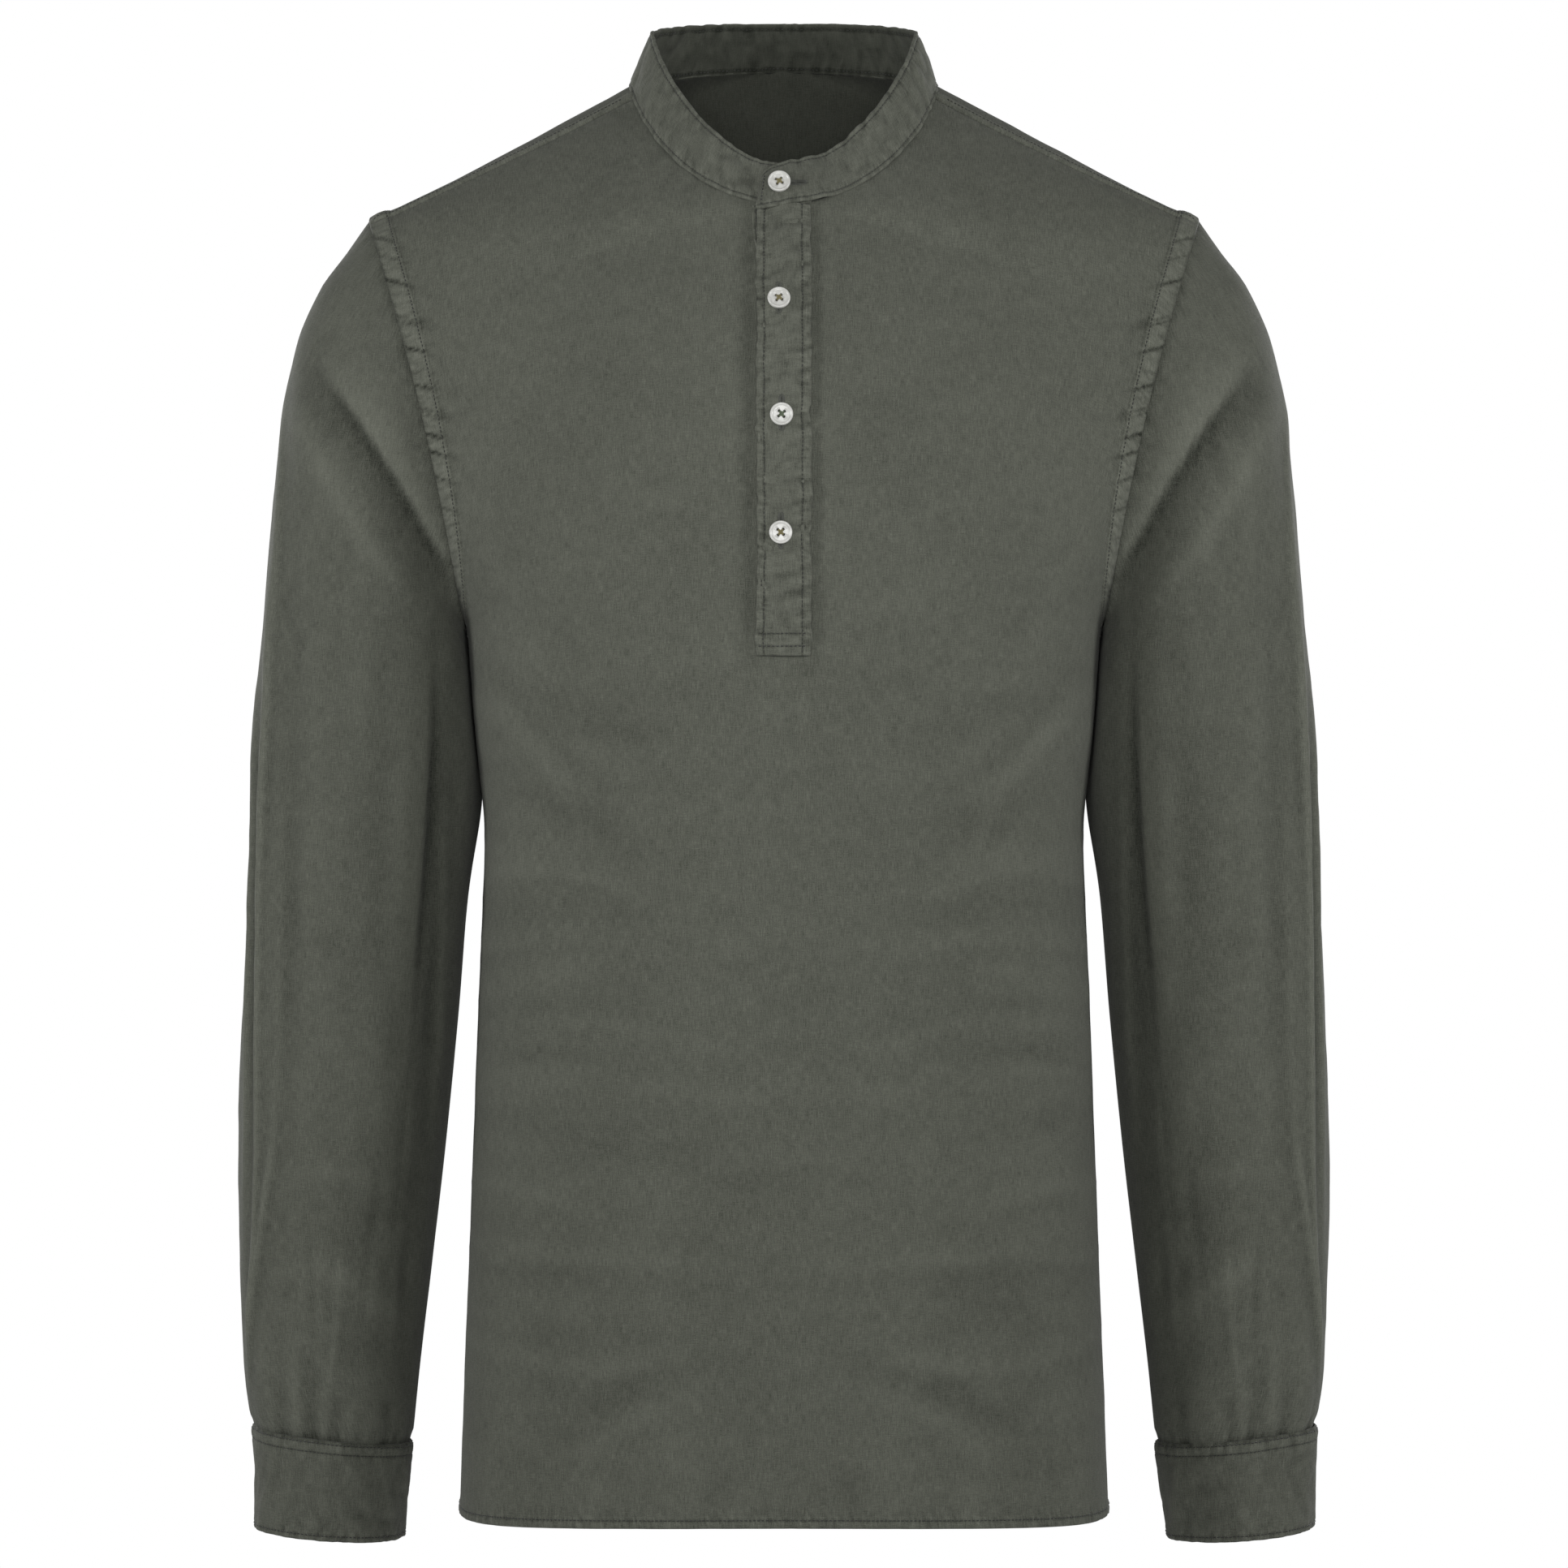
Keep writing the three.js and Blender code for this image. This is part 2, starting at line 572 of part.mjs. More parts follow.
// Once round the sleeve: from the shoulder seam down the front, and up the back.
const ROUND_ANGLES = [...FRONT_ARM_ANGLES.toReversed(), ...BACK_ARM_ANGLES.slice(1, -1)];
const SLEEVE_STEPS = 21;
const BLEND_RINGS = 3; // over these the armhole's own shape turns into plain rings
const BLEND_DECAY = 0.8; // and most of it is gone after the first
const SLEEVE_CAP_SHIFT = { x: 1.4 * SEAM_GAP, z: -SEAM_GAP / 4 }; // of the sleeve's top edge, off the armhole
const SLEEVE_FOLD_RINGS = { from: 0.2, to: 2 }; // rings over which the sleeve's folds come in
const SLEEVE_FOLD_TURN = 0.35; // on the sleeve's outer and inner edges the folds die away
const CLEAR_OF_BODY_X = 248; // further out a sleeve's points can't touch the body

function ringPoint(rings, at, angle) {
  const [outX, outZ, inX, inZ, midY, half] = ['outX', 'outZ', 'inX', 'inZ', 'midY', 'half'].map((column) =>
    columnAt(rings, column, at),
  );
  const outwards = (1 + Math.cos(radians(angle))) / 2;
  return vec(
    THREE.MathUtils.lerp(inX, outX, outwards),
    midY - half * Math.sin(radians(angle)),
    THREE.MathUtils.lerp(inZ, outZ, outwards),
  );
}

/** Keeps a sleeve's point off the side of the body, letting it rest along it. */
function besideBody(point) {
  if (point.z > UNDERARM_HEIGHT || point.x > CLEAR_OF_BODY_X) return point;
  const limit = bodyReach(point.y, point.z) + SLEEVE_CLEARANCE;
  point.x = limit + SLEEVE_SOFTNESS * Math.log1p(Math.exp((point.x - limit) / SLEEVE_SOFTNESS));
  return point;
}

function sleevePoint(at, angle) {
  const seam = armholeSeam(angle).add(vec(SLEEVE_CAP_SHIFT.x, 0, SLEEVE_CAP_SHIFT.z));
  const offset = seam.sub(ringPoint(SLEEVE_RINGS, 0, angle));
  const fade = (1 - smoothstep(at, 0, BLEND_RINGS)) * Math.exp(-BLEND_DECAY * at);
  return ringPoint(SLEEVE_RINGS, at, angle).addScaledVector(offset, fade);
}

function sleeve(side) {
  const net = new Net();
  const last = SLEEVE_RINGS.length - 1;
  const rows = spread(0, last, SLEEVE_STEPS).map((at) =>
    ROUND_ANGLES.map((angle) => {
      const point = at === 0 ? sleevePoint(0, angle) : besideBody(sleevePoint(at, angle));
      const folds = Math.sin(radians(angle)) > 0 ? SLEEVE_FRONT_FOLDS : SLEEVE_BACK_FOLDS;
      const turned = smoothstep(Math.abs(Math.sin(radians(angle))), 0, SLEEVE_FOLD_TURN);
      const begun = smoothstep(at, SLEEVE_FOLD_RINGS.from, SLEEVE_FOLD_RINGS.to);
      return net.add(sided(point, side), { fold: foldHeight(folds, point.x, point.z) * turned * begun });
    }),
  );
  net.join(side > 0 ? rows : rows.map((row) => [...row].reverse()), true);
  return { net: net.crease(), rows };
}

function cuff(side) {
  const net = new Net();
  const rows = spread(0, CUFF_RINGS.length - 1, CUFF_RINGS.length).map((at) =>
    ROUND_ANGLES.map((angle) => net.add(sided(ringPoint(CUFF_RINGS, at, angle), side))),
  );
  net.join(side > 0 ? rows : rows.map((row) => [...row].reverse()), true);
  return net.face().solid(BAND);
}

// ---------------------------------------------------------------- collar
const NECK_ANGLES = [
  ...FRONT_STEPS.filter((row) => row >= FRONT.neckRow).map((row) => FRONT.neckAngle(row)),
  ...BACK_STEPS.filter((row) => row >= BACK.neckRow).map((row) => BACK.neckAngle(row)).toReversed().slice(1),
];

// Halfway between them over the shoulders, where the collar turns most.
const SHOULDER_ANGLES = range(5).map((i) => (NECK_ANGLES[i + 1] + NECK_ANGLES[i + 2]) / 2);

/** The body's neck edge, straight between the panels' vertices. */
function neckEdge(angle) {
  const size = Math.abs(angle);
  const next = clamp(NECK_ANGLES.findIndex((each) => each >= size), 1, NECK_ANGLES.length - 1);
  const [from, to] = [NECK_ANGLES[next - 1], NECK_ANGLES[next]];
  const point = neckSeam(from).lerp(neckSeam(to), (size - from) / (to - from));
  return angle < 0 ? mirrored(point) : point;
}

/** A place on the collar. angle: round the neck from centre front, falling below zero at an end that
 *  runs past it; side: +1 on the wearer's left; up: share of the height. */
function collarPoint(angle, side, up) {
  const turn = Math.cos(radians(angle));
  const end = turn > 0 ? COLLAR.front : COLLAR.back;
  const height = THREE.MathUtils.lerp(COLLAR.side.height, end.height, turn * turn);
  const lean = radians(THREE.MathUtils.lerp(COLLAR.side.lean, end.lean, turn * turn));
  const base = neckEdge(angle);
  const reach = turn > 0 ? NECK.front : NECK.back;
  const inwards = vec(-base.x / NECK.halfWidth ** 2, (NECK.centreY - base.y) / reach ** 2, 0).normalize();
  const upwards = inwards.clone().multiplyScalar(Math.sin(lean)).add(vec(0, 0, Math.cos(lean)));
  const outwards = inwards.clone().multiplyScalar(-Math.cos(lean)).add(vec(0, 0, Math.sin(lean)));

  const lift = side > 0 ? COLLAR.lift * (1 - smoothstep(angle, COLLAR.liftTo, COLLAR.liftFrom)) : 0;
  const isFrontTop = side > 0 && turn > 0;
  const fall = isFrontTop ? COLLAR.fall * Math.max(0, COLLAR.fallFrom - base.x) : 0;
  const toEnd = (angle + COLLAR.endAngle) * radians(1) * NECK.halfWidth;
  const cut = clamp(COLLAR.cornerRadius - toEnd, 0, COLLAR.cornerRadius);
  const corner = COLLAR.cornerRadius - Math.sqrt(COLLAR.cornerRadius ** 2 - cut ** 2);
  const hang = (1 - up) * Math.max(0, lift - COLLAR.liftHang * COLLAR.lift);
  const bulge = COLLAR.bulge * Math.sin(Math.PI * up);
  base.addScaledVector(upwards, SEAM_GAP + up * (height - corner) - hang);
  base.addScaledVector(outwards, lift + bulge);
  base.z -= fall;
  base.y -= fall * COLLAR.fallForward;
  return sided(base, side);
}

// Close together for the rounded corner.
const COLLAR_END_ANGLES = [-COLLAR.endAngle, -9, -7.5, -5.2, -2.6, 3, 6.5, COLLAR.endAngle];
const COLLAR_HEIGHTS = [0, 0.5, 1];

function collar() {
  const net = new Net();
  const angles = [...COLLAR_END_ANGLES, ...NECK_ANGLES, ...SHOULDER_ANGLES].sort((a, b) => a - b);
  const places = [
    ...angles.map((angle) => ({ angle, side: -1 })),
    ...angles.toReversed().slice(1).map((angle) => ({ angle, side: 1 })),
  ];
  const rows = COLLAR_HEIGHTS.map((up) =>
    places.map(({ angle, side }) => net.add(collarPoint(angle, side, up))),
  );
  net.join(rows.toReversed());
  return net.face().solid(BAND);
}

// ---------------------------------------------------------------- front opening
/** A place on the front's outer face near the centre line. */
function centrePoint(level, x) {
  const row = FRONT.rowAtLevel(level);
  return sided(FRONT.point(row, FRONT.shareAtX(row, Math.abs(x))), x);
}

const neckAngleAt = (x) => THREE.MathUtils.radToDeg(Math.asin(Math.abs(x) / NECK.halfWidth));

/** A strip down the centre front. topOf gives its top edge's height at x; rise lifts it off the front. */
function strip({ left, right, bottom, topOf, rise, columns, steps }) {
  const net = new Net();
  const rows = spread(0, 1, steps).map((up) =>
    spread(left, right, columns).map((x) => {
      const level = THREE.MathUtils.lerp(bottom, topOf(x), up);
      return net.add(centrePoint(level, x));
    }),
  );
  net.join(rows);
  net.face();
  for (const { at, outward } of net.points) at.addScaledVector(outward, rise);
  return net.face().solid(BAND);
}

const OVER_RISE = LAY_GAP + BAND;
const PLACKET_COLUMNS = 4;
const NECK_TILT = 0.5; // rise of the front's outward direction just below the neck

function placketOver() {
  const margin = 2 * SEAM_GAP + OVER_RISE * NECK_TILT;
  const topOf = (x) => collarPoint(Math.sign(x) * neckAngleAt(x), 1, 0).z - margin;
  return strip({ ...PLACKET, topOf, rise: OVER_RISE, columns: PLACKET_COLUMNS, steps: 18 });
}

function placketUnder() {
  const topOf = (x) => neckEdge(neckAngleAt(x)).z - SEAM_GAP;
  const { underLeft: left, underRight: right } = PLACKET;
  const bottom = UNDERARM_HEIGHT + SEAM_GAP;
  return strip({ left, right, bottom, topOf, rise: 0, columns: PLACKET_COLUMNS, steps: 14 });
}

// ---------------------------------------------------------------- buttons
/** Joins vertices, so that manifold-3d gets a closed solid. */
function toManifold(geometry) {
  const bare = geometry.clone();
  bare.deleteAttribute('normal');
  bare.deleteAttribute('uv');
  const merged = mergeVertices(bare, 1e-4);
  const vertProperties = Float32Array.from(merged.attributes.position.array);
  const triVerts = Uint32Array.from(merged.index.array);
  return new wasm.Manifold(new wasm.Mesh({ numProp: 3, vertProperties, triVerts }));
}

function fromManifold(solid) {
  const { vertProperties, triVerts } = solid.getMesh();
  const geometry = new THREE.BufferGeometry();
  geometry.setAttribute('position', new THREE.Float32BufferAttribute(vertProperties, 3));
  geometry.setIndex([...triVerts]);
  geometry.computeVertexNormals();
  return geometry;
}

/** A four-hole button with a raised rim, its back at y = 0 and its face towards +Y. */
function buttonGeometry() {
  const { radius, thickness, rimWidth, dish, holePitch, holeRadius } = BUTTON;
  const profile = [
    [0, 0],
    [radius - rimWidth, 0],
    [radius, thickness * 0.35],
    [radius, thickness * 0.7],
    [radius - rimWidth * 0.45, thickness],
    [radius - rimWidth, thickness - dish * 0.4],
    [radius - rimWidth * 1.4, thickness - dish],
    [0, thickness - dish],
  ];
  const disc = new THREE.LatheGeometry(profile.map(([r, h]) => new THREE.Vector2(r, h)), 18);
  const hole = new THREE.CylinderGeometry(holeRadius, holeRadius, 3 * thickness, 7);
  const corners = [-1, 1].flatMap((i) => [-1, 1].map((j) => [(i * holePitch) / 2, (j * holePitch) / 2]));
  return fromManifold(
    corners.reduce(
      (solid, [x, z]) => solid.subtract(toManifold(hole.clone().translate(x, 0, z))),
      toManifold(disc),
    ),
  );
}

/** Places a button with its back just off a piece's outer face. */
function placedButton(name, point, outward) {
  const mesh = piece(name, buttonGeometry(), SHELL);
  mesh.position.copy(point).addScaledVector(outward, LAY_GAP);
  mesh.quaternion.setFromUnitVectors(vec(0, 1, 0), outward);
  return mesh;
}

/** The outward direction of a surface given by two parameters. */
function outwardOf(surface, a, b, stepA, stepB) {
  const alongA = surface(a + stepA, b).sub(surface(a - stepA, b));
  const alongB = surface(a, b + stepB).sub(surface(a, b - stepB));
  const outward = alongA.cross(alongB).normalize();
  return outward.y > 0 ? outward.negate() : outward;
}

// ---------------------------------------------------------------- the shirt
const LINEN = new THREE.MeshStandardMaterial({ color: '#5c5e55', roughness: 0.93, metalness: 0 });
const SHELL = new THREE.MeshStandardMaterial({ color: '#dedfda', roughness: 0.35, metalness: 0 });

function piece(name, geometry, material) {
  const mesh = new THREE.Mesh(geometry, material);
  mesh.name = name;
  return mesh;
}

function bodyAndSleeves() {
  const front = frontPanel();
  const back = backPanel();
  const sleeves = { left: sleeve(1), right: sleeve(-1) };
  for (const side of ['left', 'right']) {
    const round = sleeves[side];
    const frontEdge = edgeOf(front[side], UNDERARM_STEP).reverse();
    const backEdge = edgeOf(back[side], UNDERARM_STEP);
    const ring = round.rows[0];
    shareDirections(front.net, front[side].at(-1), back.net, back[side].at(-1));
    const [frontSide, backSide] = [front, back].map((panel) => edgeOf(panel[side], 0, UNDERARM_STEP));
    shareDirections(front.net, frontSide, back.net, backSide);
    shareDirections(front.net, frontEdge, round.net, ring.slice(0, frontEdge.length));
    shareDirections(back.net, backEdge.slice(1), round.net, [...ring.slice(frontEdge.length), ring[0]]);
    for (const panel of [front, back]) {
      const rows = panel[side];
      const toUnderarm = UNDERARM_STEP + 1;
      panel.net.drawBack(edgeOf(rows, 0, toUnderarm), besideEdge(rows, 0, toUnderarm), SEAM_GAP / 2);
      panel.net.drawBack(rows.at(-1), rows.at(-2), SEAM_GAP / 2);
    }
  }
  return [
    piece('front', front.net.solid(CLOTH), LINEN),
    piece('back', back.net.solid(CLOTH), LINEN),
    piece('sleeve_left', sleeves.left.net.solid(CLOTH), LINEN),
    piece('sleeve_right', sleeves.right.net.solid(CLOTH), LINEN),
  ];
}

function buttons() {
  const onPlacket = BUTTON_PLACES.map(({ name, level, x }) => {
    const outward = outwardOf(centrePoint, level, x, 3, 3);
    return placedButton(name, centrePoint(level, x).addScaledVector(outward, OVER_RISE), outward);
  });
  const { angle, height } = COLLAR_BUTTON;
  const onCollar = (at, up) => collarPoint(at, 1, up);
  const outward = outwardOf(onCollar, angle, height, 1, 0.1);
  return [placedButton('button_collar', onCollar(angle, height), outward), ...onPlacket];
}

const shirt = new THREE.Group();
shirt.name = 'mandarin_collar_shirt';
shirt.add(
  ...bodyAndSleeves(),
  piece('cuff_left', cuff(1), LINEN),
  piece('cuff_right', cuff(-1), LINEN),
  piece('collar', collar(), LINEN),
  piece('placket_over', placketOver(), LINEN),
  piece('placket_under', placketUnder(), LINEN),
  ...buttons(),
);

export default shirt;
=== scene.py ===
"""A mandarin collar shirt in washed linen, filled out as on a wearer, dressed round its fixed frame.

Lengths are millimetres in the tables and formulas, and become metres when a mesh is written.
+X is the wearer's left, the front faces -Y and +Z is up. The origin lies between the two neck
points of the shoulders. Every piece of cloth is a grid of points on its outer face, creased,
puckered and given its thickness; stitches are laid along lines of those grids.
"""

from __future__ import annotations

import logging
import math
from dataclasses import dataclass, field
from enum import Enum
from typing import ClassVar, Iterable, Sequence

import bmesh
import bpy
import numpy as np
from mathutils import Matrix, Vector

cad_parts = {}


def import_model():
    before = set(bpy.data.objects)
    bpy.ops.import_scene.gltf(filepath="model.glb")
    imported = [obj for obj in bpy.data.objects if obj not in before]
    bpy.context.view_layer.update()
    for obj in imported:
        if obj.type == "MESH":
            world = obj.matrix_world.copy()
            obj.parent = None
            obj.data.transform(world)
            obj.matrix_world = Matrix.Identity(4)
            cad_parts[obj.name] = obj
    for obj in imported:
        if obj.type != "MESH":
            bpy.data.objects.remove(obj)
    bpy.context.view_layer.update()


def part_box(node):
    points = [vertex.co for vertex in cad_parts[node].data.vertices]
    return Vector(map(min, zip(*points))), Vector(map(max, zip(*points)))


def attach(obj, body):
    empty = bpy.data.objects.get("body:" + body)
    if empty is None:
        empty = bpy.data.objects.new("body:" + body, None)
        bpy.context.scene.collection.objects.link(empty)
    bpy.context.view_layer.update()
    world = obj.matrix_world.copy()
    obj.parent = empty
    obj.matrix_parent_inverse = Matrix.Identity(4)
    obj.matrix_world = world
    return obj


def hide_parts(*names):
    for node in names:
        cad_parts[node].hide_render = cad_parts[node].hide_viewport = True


LOG = logging.getLogger("shirt")

Array = np.ndarray
Object = bpy.types.Object
Mesh = bpy.types.Mesh
Finish = bpy.types.Material
Settings = dict | None  # a node's own settings by name
Values = dict | Sequence | None  # values for a node's inputs, in a list or by name
MM = 0.001  # metres in a millimetre
BODY = "root"
NONE = math.nan
WHITE = (1.0, 1.0, 1.0, 1.0)
GROOVE_WIDTH = 0.7  # half width of the dip along a row of stitches
STITCH_SINK = 0.8  # how deep a stitch's ends lie, by its rise
STITCH_CROWN = 1.5  # how high its arc is drawn, by its rise
STITCH_SWING = 0.07  # how far it may turn out of its line, in radians


# ---------------------------------------------------------------- small maths
def smoothstep(value: Array, low: float, high: float) -> Array:
    """A smooth rise from 0 at low to 1 at high.

    Args:
        value: What rises.
        low: Where the rise starts.
        high: Where it ends.

    Returns:
        Shares from 0 to 1.
    """
    t = np.clip((np.asarray(value, float) - low) / (high - low), 0, 1)
    return t * t * (3 - 2 * t)


def bell(distance: Array, width: float) -> Array:
    """1 where the distance is 0, falling smoothly to nothing over about two widths."""
    return np.exp(-((distance / width) ** 2))


def groove(distance: Array) -> Array:
    """The narrow dip that a row of stitches makes, 1 at its bottom."""
    return bell(distance, GROOVE_WIDTH)


def mix(a: Array, b: Array, share: Array) -> Array:
    """Goes from a to b by a share."""
    return a + (b - a) * share


def unit(vectors: Array) -> Array:
    """Vectors of length one, along the last axis."""
    return vectors / np.maximum(np.linalg.norm(vectors, axis=-1, keepdims=True), 1e-12)


def points(x: Array, y: Array, z: Array) -> Array:
    """Stacks coordinates into points."""
    return np.stack(np.broadcast_arrays(x, y, z), axis=-1).astype(float)


def mirrored(place: Array) -> Array:
    """Points on the wearer's other side."""
    return place * np.array([-1.0, 1.0, 1.0])


def run_length(place: Array, along: int, axes: Sequence[int] = (0, 1, 2)) -> Array:
    """Length run so far along one axis of a grid of points.

    Args:
        place: Points, (rows, columns, 3).
        along: The grid axis that is walked.
        axes: The coordinates that count.

    Returns:
        Lengths, (rows, columns), from 0.
    """
    steps = np.linalg.norm(np.diff(place[..., list(axes)], axis=along), axis=-1)
    start = np.zeros_like(np.take(steps, [0], axis=along))
    return np.concatenate([start, np.cumsum(steps, axis=along)], axis=along)


def number_at(spots: Array, value: float) -> float:
    """The place of a value in a rising list of numbers, between two of them where it lies between."""
    return float(np.interp(value, spots, np.arange(len(spots))))


def fine_steps(*spans: tuple[float, float, float]) -> Array:
    """Numbers from span to span.

    Args:
        *spans: Each (from, to, step); the step is made to fit, and each span starts at the last one's end.

    Returns:
        The numbers in order.
    """
    found = [np.array([spans[0][0]])]
    for start, stop, step in spans:
        count = max(1, round(abs(stop - start) / step))
        found.append(np.linspace(start, stop, count + 1)[1:])
    return np.concatenate(found)


class Table:
    """Rows of named numbers, read between its rows by a cubic and beyond its ends straight on."""

    def __init__(self, columns: str, *rows: Sequence[float]) -> None:
        """Keeps the rows under the columns' names."""
        self.columns = columns.split()
        self.rows = np.array(rows, float)

    def column(self, name: str) -> Array:
        """One column's numbers."""
        return self.rows[:, self.columns.index(name)]

    def at(self, name: str, place: Array) -> Array:
        """A column's value at a row number, which may lie between rows.

        Args:
            name: The column.
            place: Row numbers.

        Returns:
            The values.
        """
        values = self.column(name)
        last = len(values) - 1
        ends = ([2 * values[0] - values[1]], [2 * values[last] - values[last - 1]])
        padded = np.concatenate([ends[0], values, ends[1]])
        place = np.asarray(place, float)
        row = np.clip(np.floor(place), 0, last - 1).astype(int)
        t = place - row
        a, b, c, d = (padded[row + k] for k in range(4))
        return b + 0.5 * t * (c - a + t * (2 * a - 5 * b + 4 * c - d + t * (3 * (b - c) + d - a)))

    def row_of(self, name: str, value: Array) -> Array:
        """The row number at which a rising column has a value."""
        return np.interp(value, self.column(name), np.arange(len(self.rows)))


class Ripple:
    """Smooth random waves, the same at every run."""

    SIZE = 64

    def __init__(self, seed: int) -> None:
        """Draws the lattice of heights from -1 to 1."""
        self.heights = np.random.default_rng(seed).uniform(-1, 1, (self.SIZE, self.SIZE))

    def at(self, x: Array, y: Array) -> Array:
        """Height at places given in waves.

        Args:
            x: Place across.
            y: Place up.

        Returns:
            Heights, about -1 to 1.
        """
        x, y = np.broadcast_arrays(np.asarray(x, float), np.asarray(y, float))
        column, row = np.floor(x).astype(int), np.floor(y).astype(int)
        u, v = (t * t * t * (t * (6 * t - 15) + 10) for t in (x - column, y - row))
        corner = [
            [self.heights[(row + j) % self.SIZE, (column + i) % self.SIZE] for i in (0, 1)]
            for j in (0, 1)
        ]
        low, high = (mix(*pair, u) for pair in corner)
        return mix(low, high, v)

    def layered(self, x: Array, y: Array, layers: Iterable[Sequence[float]]) -> Array:
        """Waves of several lengths together.

        Args:
            x: Place across, in millimetres.
            y: Place up.
            layers: Each one's height and length across and up, then its shifts in waves.

        Returns:
            Heights in millimetres.
        """
        return sum(h * self.at(x / wide + right, y / tall + up) for h, wide, tall, right, up in layers)


# ---------------------------------------------------------------- creases
@dataclass(frozen=True)
class Fold:
    """A soft ridge, or a trough where its height is negative, along a slightly bowed line.

    start and end are places across from the centre line and up; one_side marks a fold that the
    wearer's other half doesn't repeat (+1 for one on the wearer's left, -1 on the right).
    """

    start: tuple[float, float]
    end: tuple[float, float]
    width: float
    height: float
    bow: float = 0.0
    skew: float = 0.0
    one_side: int = 0
    lap: float = 0.0  # how far the cloth on one side stands over that on the other
    lap_spread: float = 20.0

    def relief(self, x: Array, z: Array) -> Array:
        """How far the fold pushes the cloth out at places seen from the front or the back.

        Args:
            x: Places across, signed.
            z: Places up.

        Returns:
            Heights in millimetres.
        """
        run = np.subtract(self.end, self.start)
        length = float(np.hypot(*run))
        dx, dz = np.abs(x) - self.start[0], z - self.start[1]
        along = 2 * (dx * run[0] + dz * run[1]) / length**2 - 1
        across = (dx * run[1] - dz * run[0]) / length - self.bow * (1 - along**2)
        width = self.width * (1 + self.skew * np.tanh(across / self.width))
        height = self.height * bell(across, width)
        height += self.lap * np.tanh(across / 2.2) * np.exp(-np.abs(across) / self.lap_spread)
        height *= np.exp(-(along**4))
        return np.where(self.one_side * x < 0, 0.0, height)


def relief(folds: Iterable[Fold], x: Array, z: Array) -> Array:
    """The heights of many folds together."""
    return sum(fold.relief(x, z) for fold in folds)


def puckers(along: Array, pitch: float, reach: float, seed: int) -> Array:
    """The uneven gathers that a line of stitching draws up.

    Args:
        along: Places along the seam.
        pitch: Mean distance from one gather to the next.
        reach: Length of the seam.
        seed: Which gathers.

    Returns:
        Heights, about -1 to 1.
    """
    dice = np.random.default_rng(seed)
    count = max(2, int(reach / pitch))
    centres = (np.arange(count) + dice.uniform(0.1, 0.9, count)) * reach / count
    widths = pitch * dice.uniform(0.12, 0.3, count)
    heights = dice.uniform(0.35, 1.0, count) * dice.choice([-1.0, 1.0], count, p=[0.4, 0.6])
    total = np.zeros_like(np.asarray(along, float))
    for centre, width, height in zip(centres, widths, heights):
        total += height * bell(along - centre, width)
    return total


def creases(along: Array, pitch: float, reach: float, seed: int, width: float = 1.3) -> Array:
    """The uneven narrow creases that a line of stitching draws up, with puffed cloth between them.

    Args:
        along: Places along the seam.
        pitch: Mean distance from one crease to the next.
        reach: Length of the seam.
        seed: Which creases.
        width: Half the mean width of one.

    Returns:
        0 between creases, up to 1 at the bottom of a deep one.
    """
    dice = np.random.default_rng(seed)
    centres = np.cumsum(pitch * dice.uniform(0.45, 1.55, int(reach / pitch * 1.4) + 3))
    total = np.zeros_like(np.asarray(along, float))
    for centre in centres[centres < reach]:
        depth = dice.uniform(0.2, 1.0)
        total += depth * bell(along - centre, width * dice.uniform(0.7, 1.6))
    return total


def crumple(wave: Ripple, x: Array, y: Array) -> Array:
    """Creases of stiff doubled cloth: sharp along their bottoms, about -1 to 0.5.

    Args:
        wave: The random waves.
        x: Place across, in waves.
        y: Place up, in waves.

    Returns:
        Heights.
    """
    first = wave.at(x + 0.35 * y, y - 0.2 * x)
    second = wave.at(2.1 * x + 17 - 0.8 * y, 2.1 * y + 5)
    return 1.3 * np.sqrt(first**2 + 0.004) + 0.55 * np.sqrt(second**2 + 0.006) - 0.8


def blurred(values: Array, around: bool) -> Array:
    """Each value mixed with its neighbours on a grid.

    Args:
        values: The grid.
        around: Its last column joins its first.

    Returns:
        The mixed grid.
    """
    for axis, mode in ((0, "edge"), (1, "wrap" if around else "edge")):
        pads = [(1, 1) if axis == k else (0, 0) for k in range(2)]
        padded = np.pad(values, pads, mode=mode)
        size = values.shape[axis]
        before, after = (np.take(padded, range(start, start + size), axis) for start in (0, 2))
        values = (before + 2 * values + after) / 4
    return values


